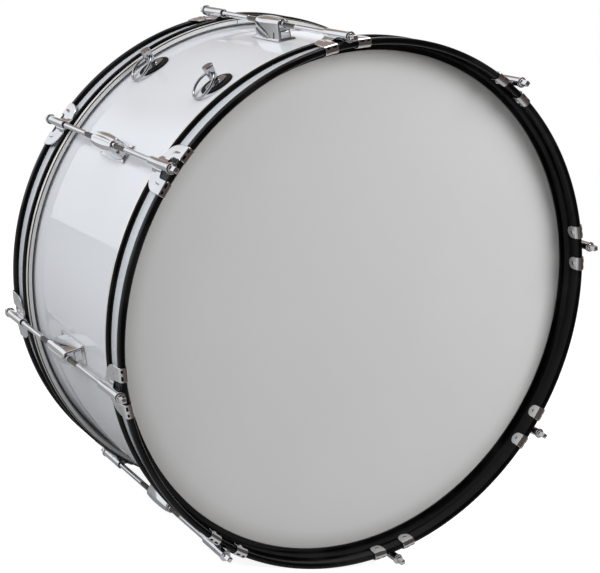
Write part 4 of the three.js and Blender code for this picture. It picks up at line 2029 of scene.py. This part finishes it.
@dataclass(frozen=True)
class Studio:
    """A pale floor, a white surround with a dim half to be mirrored, and soft lamps.

    Attributes:
        surround: Strength of the light that comes from all round.
        floor_shade: Colour of the floor.
        floor_glow: What is added to the floor where it is seen, so that it shows white.
        floor_mirrored: Share of that glow in what metal mirrors.
        floor_half: Half the floor's width in metres.
        bright: What bright metal mirrors from the backdrop.
        dim: What it mirrors from behind the camera.
        beam: What it mirrors from a band above the backdrop.
    """

    surround: float = 0.3
    floor_shade: float = 0.36
    floor_glow: float = 0.9
    floor_mirrored: float = 0.12
    floor_half: float = 3.0
    bright: Colour = (0.93, 0.95, 0.98)
    dim: Colour = (0.085, 0.069, 0.061)
    beam: Colour = (0.33, 0.26, 0.225)
    lamps: tuple[Lamp, ...] = (
        Lamp("key_softbox", (1.0, -1.3, 1.5), 0.9, 34, mirrored=False),
        Lamp("side_softbox", (-2.3, -0.1, 1.5), 1.8, 42, mirrored=False),
        Lamp("overhead_softbox", (0.0, 0.2, 2.4), 0.9, 8),
    )

    @staticmethod
    def seen(graph: Graph) -> tuple[Socket, Socket]:
        """Whether a ray is a camera ray, and whether it is seen, mirrored or looked through.

        Args:
            graph: The graph that gets the nodes.

        Returns:
            The two answers, each 1 or 0.
        """
        ray = graph.add("ShaderNodeLightPath").outputs
        through = graph.math("MAXIMUM", ray["Is Glossy Ray"], ray["Is Transmission Ray"])
        camera = ray["Is Camera Ray"]
        return camera, graph.math("MAXIMUM", camera, through)

    def world(self) -> None:
        """A surround that is white to look at, with a dim half for bright metal to mirror."""
        world = bpy.data.worlds.new("studio")
        bpy.context.scene.world = world
        graph = cleared_graph(world)
        camera, seen = self.seen(graph)
        direction = graph.add("ShaderNodeTexCoord").outputs["Generated"]
        parts = graph.add("ShaderNodeSeparateXYZ", {"Vector": direction}).outputs
        white = (1.0, 1.0, 1.0)
        high = graph.span(parts["Z"], 0.25, 0.37)
        right = graph.span(parts["X"], -0.36, -0.2)
        low = graph.span(parts["Z"], 0.95, 0.8)
        beam = graph.math("MULTIPLY", graph.math("MULTIPLY", high, right), low)
        behind = graph.span(parts["Y"], 0.2, -0.15)
        mirrored = graph.mix(behind, graph.mix(beam, self.bright, self.beam), self.dim)
        shown = graph.mix(camera, mirrored, white)
        light = graph.add("ShaderNodeBackground", {"Color": white, "Strength": self.surround})
        view = graph.add("ShaderNodeBackground", {"Color": shown, "Strength": 1.0})
        both = graph.add("ShaderNodeMixShader", {0: seen, 1: light.outputs[0], 2: view.outputs[0]})
        graph.add("ShaderNodeOutputWorld", {"Surface": both.outputs[0]})

    def floor(self) -> None:
        """A plain pale floor that glows where it is seen, so that it shows white."""
        half = self.floor_half
        corners = [(-half, -half, 0), (half, -half, 0), (half, half, 0), (-half, half, 0)]
        mesh = bpy.data.meshes.new("floor")
        mesh.from_pydata(corners, [], [(0, 1, 2, 3)])
        material = bpy.data.materials.new("pale_floor")
        graph = cleared_graph(material)
        camera, seen = self.seen(graph)
        place = graph.add("ShaderNodeTexCoord").outputs["Object"]
        parts = graph.add("ShaderNodeSeparateXYZ", {"Vector": place}).outputs
        mirror = graph.math("SUBTRACT", seen, camera)
        front = graph.math("MULTIPLY", graph.span(parts["Y"], -0.15, -0.7), mirror)
        shade = graph.mix(front, (self.floor_shade,) * 3, self.dim)
        diffuse = graph.add("ShaderNodeBsdfDiffuse", {"Color": shade})
        seen = graph.math("SUBTRACT", seen, front)
        own = graph.math("MULTIPLY", camera, 1 - self.floor_mirrored)
        share = graph.math("MULTIPLY_ADD", seen, self.floor_mirrored, own)
        strength = graph.math("MULTIPLY", share, self.floor_glow)
        glow = graph.add("ShaderNodeEmission", {"Strength": strength})
        both = graph.add("ShaderNodeAddShader", {0: diffuse.outputs[0], 1: glow.outputs[0]})
        graph.add("ShaderNodeOutputMaterial", {"Surface": both.outputs[0]})
        mesh.materials.append(material)
        floor = bpy.data.objects.new("floor", mesh)
        show(floor)

    def build(self) -> None:
        """Makes the surround, the floor and the lamps."""
        self.world()
        self.floor()
        for lamp in self.lamps:
            lamp.build()


@dataclass(frozen=True)
class PhotoCamera:
    """The camera found by fitting the hoops, claws, rods and lugs to the photo.

    Attributes:
        place: Location in metres.
        azimuth: Degrees round the drum, 0 looking along +Y.
        elevation: Degrees above the horizon.
        roll: Degrees that the camera is turned about its own axis.
        focal: Focal length in pixels of an image as wide as frame_width.
    """

    place: tuple[float, float, float] = (-0.879886, -1.340656, 0.517008)
    azimuth: float = -33.32944
    elevation: float = 8.31657
    roll: float = 13.57713
    focal: float = 1408.985
    frame_width: float = 600.0
    sensor: float = 36.0

    def build(self) -> None:
        """Makes the scene's camera."""
        a, e, r = (math.radians(x) for x in (self.azimuth, self.elevation, self.roll))
        back = Vector((math.sin(a) * math.cos(e), -math.cos(a) * math.cos(e), math.sin(e)))
        level = Vector((math.cos(a), math.sin(a), 0))
        upright = back.cross(level)
        right = level * math.cos(r) + upright * math.sin(r)
        up = upright * math.cos(r) - level * math.sin(r)
        turn = Matrix((right, up, back)).transposed()
        data = bpy.data.cameras.new("photo_camera")
        data.sensor_width = self.sensor
        data.lens = self.focal / self.frame_width * self.sensor
        data.clip_start, data.clip_end = 0.05, 100
        camera = bpy.data.objects.new("photo_camera", data)
        camera.matrix_world = Matrix.Translation(self.place) @ turn.to_4x4()
        show(camera)
        bpy.context.scene.camera = camera


def main() -> None:
    """Builds the dressed drum, its studio and its camera."""
    logging.basicConfig(level=logging.INFO)
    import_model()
    shop = Workshop()
    parts = (Shell(), Head(), FleshHoop(), Hoop(), Lug(), Claw(), TensionRod(), SlingEye())
    for part in parts:
        part.build(shop)
        log.info("built %s", type(part).__name__)
    Studio().build()
    PhotoCamera().build()
    bpy.context.scene.view_settings.view_transform = "Standard"


if __name__ == "__main__":
    main()
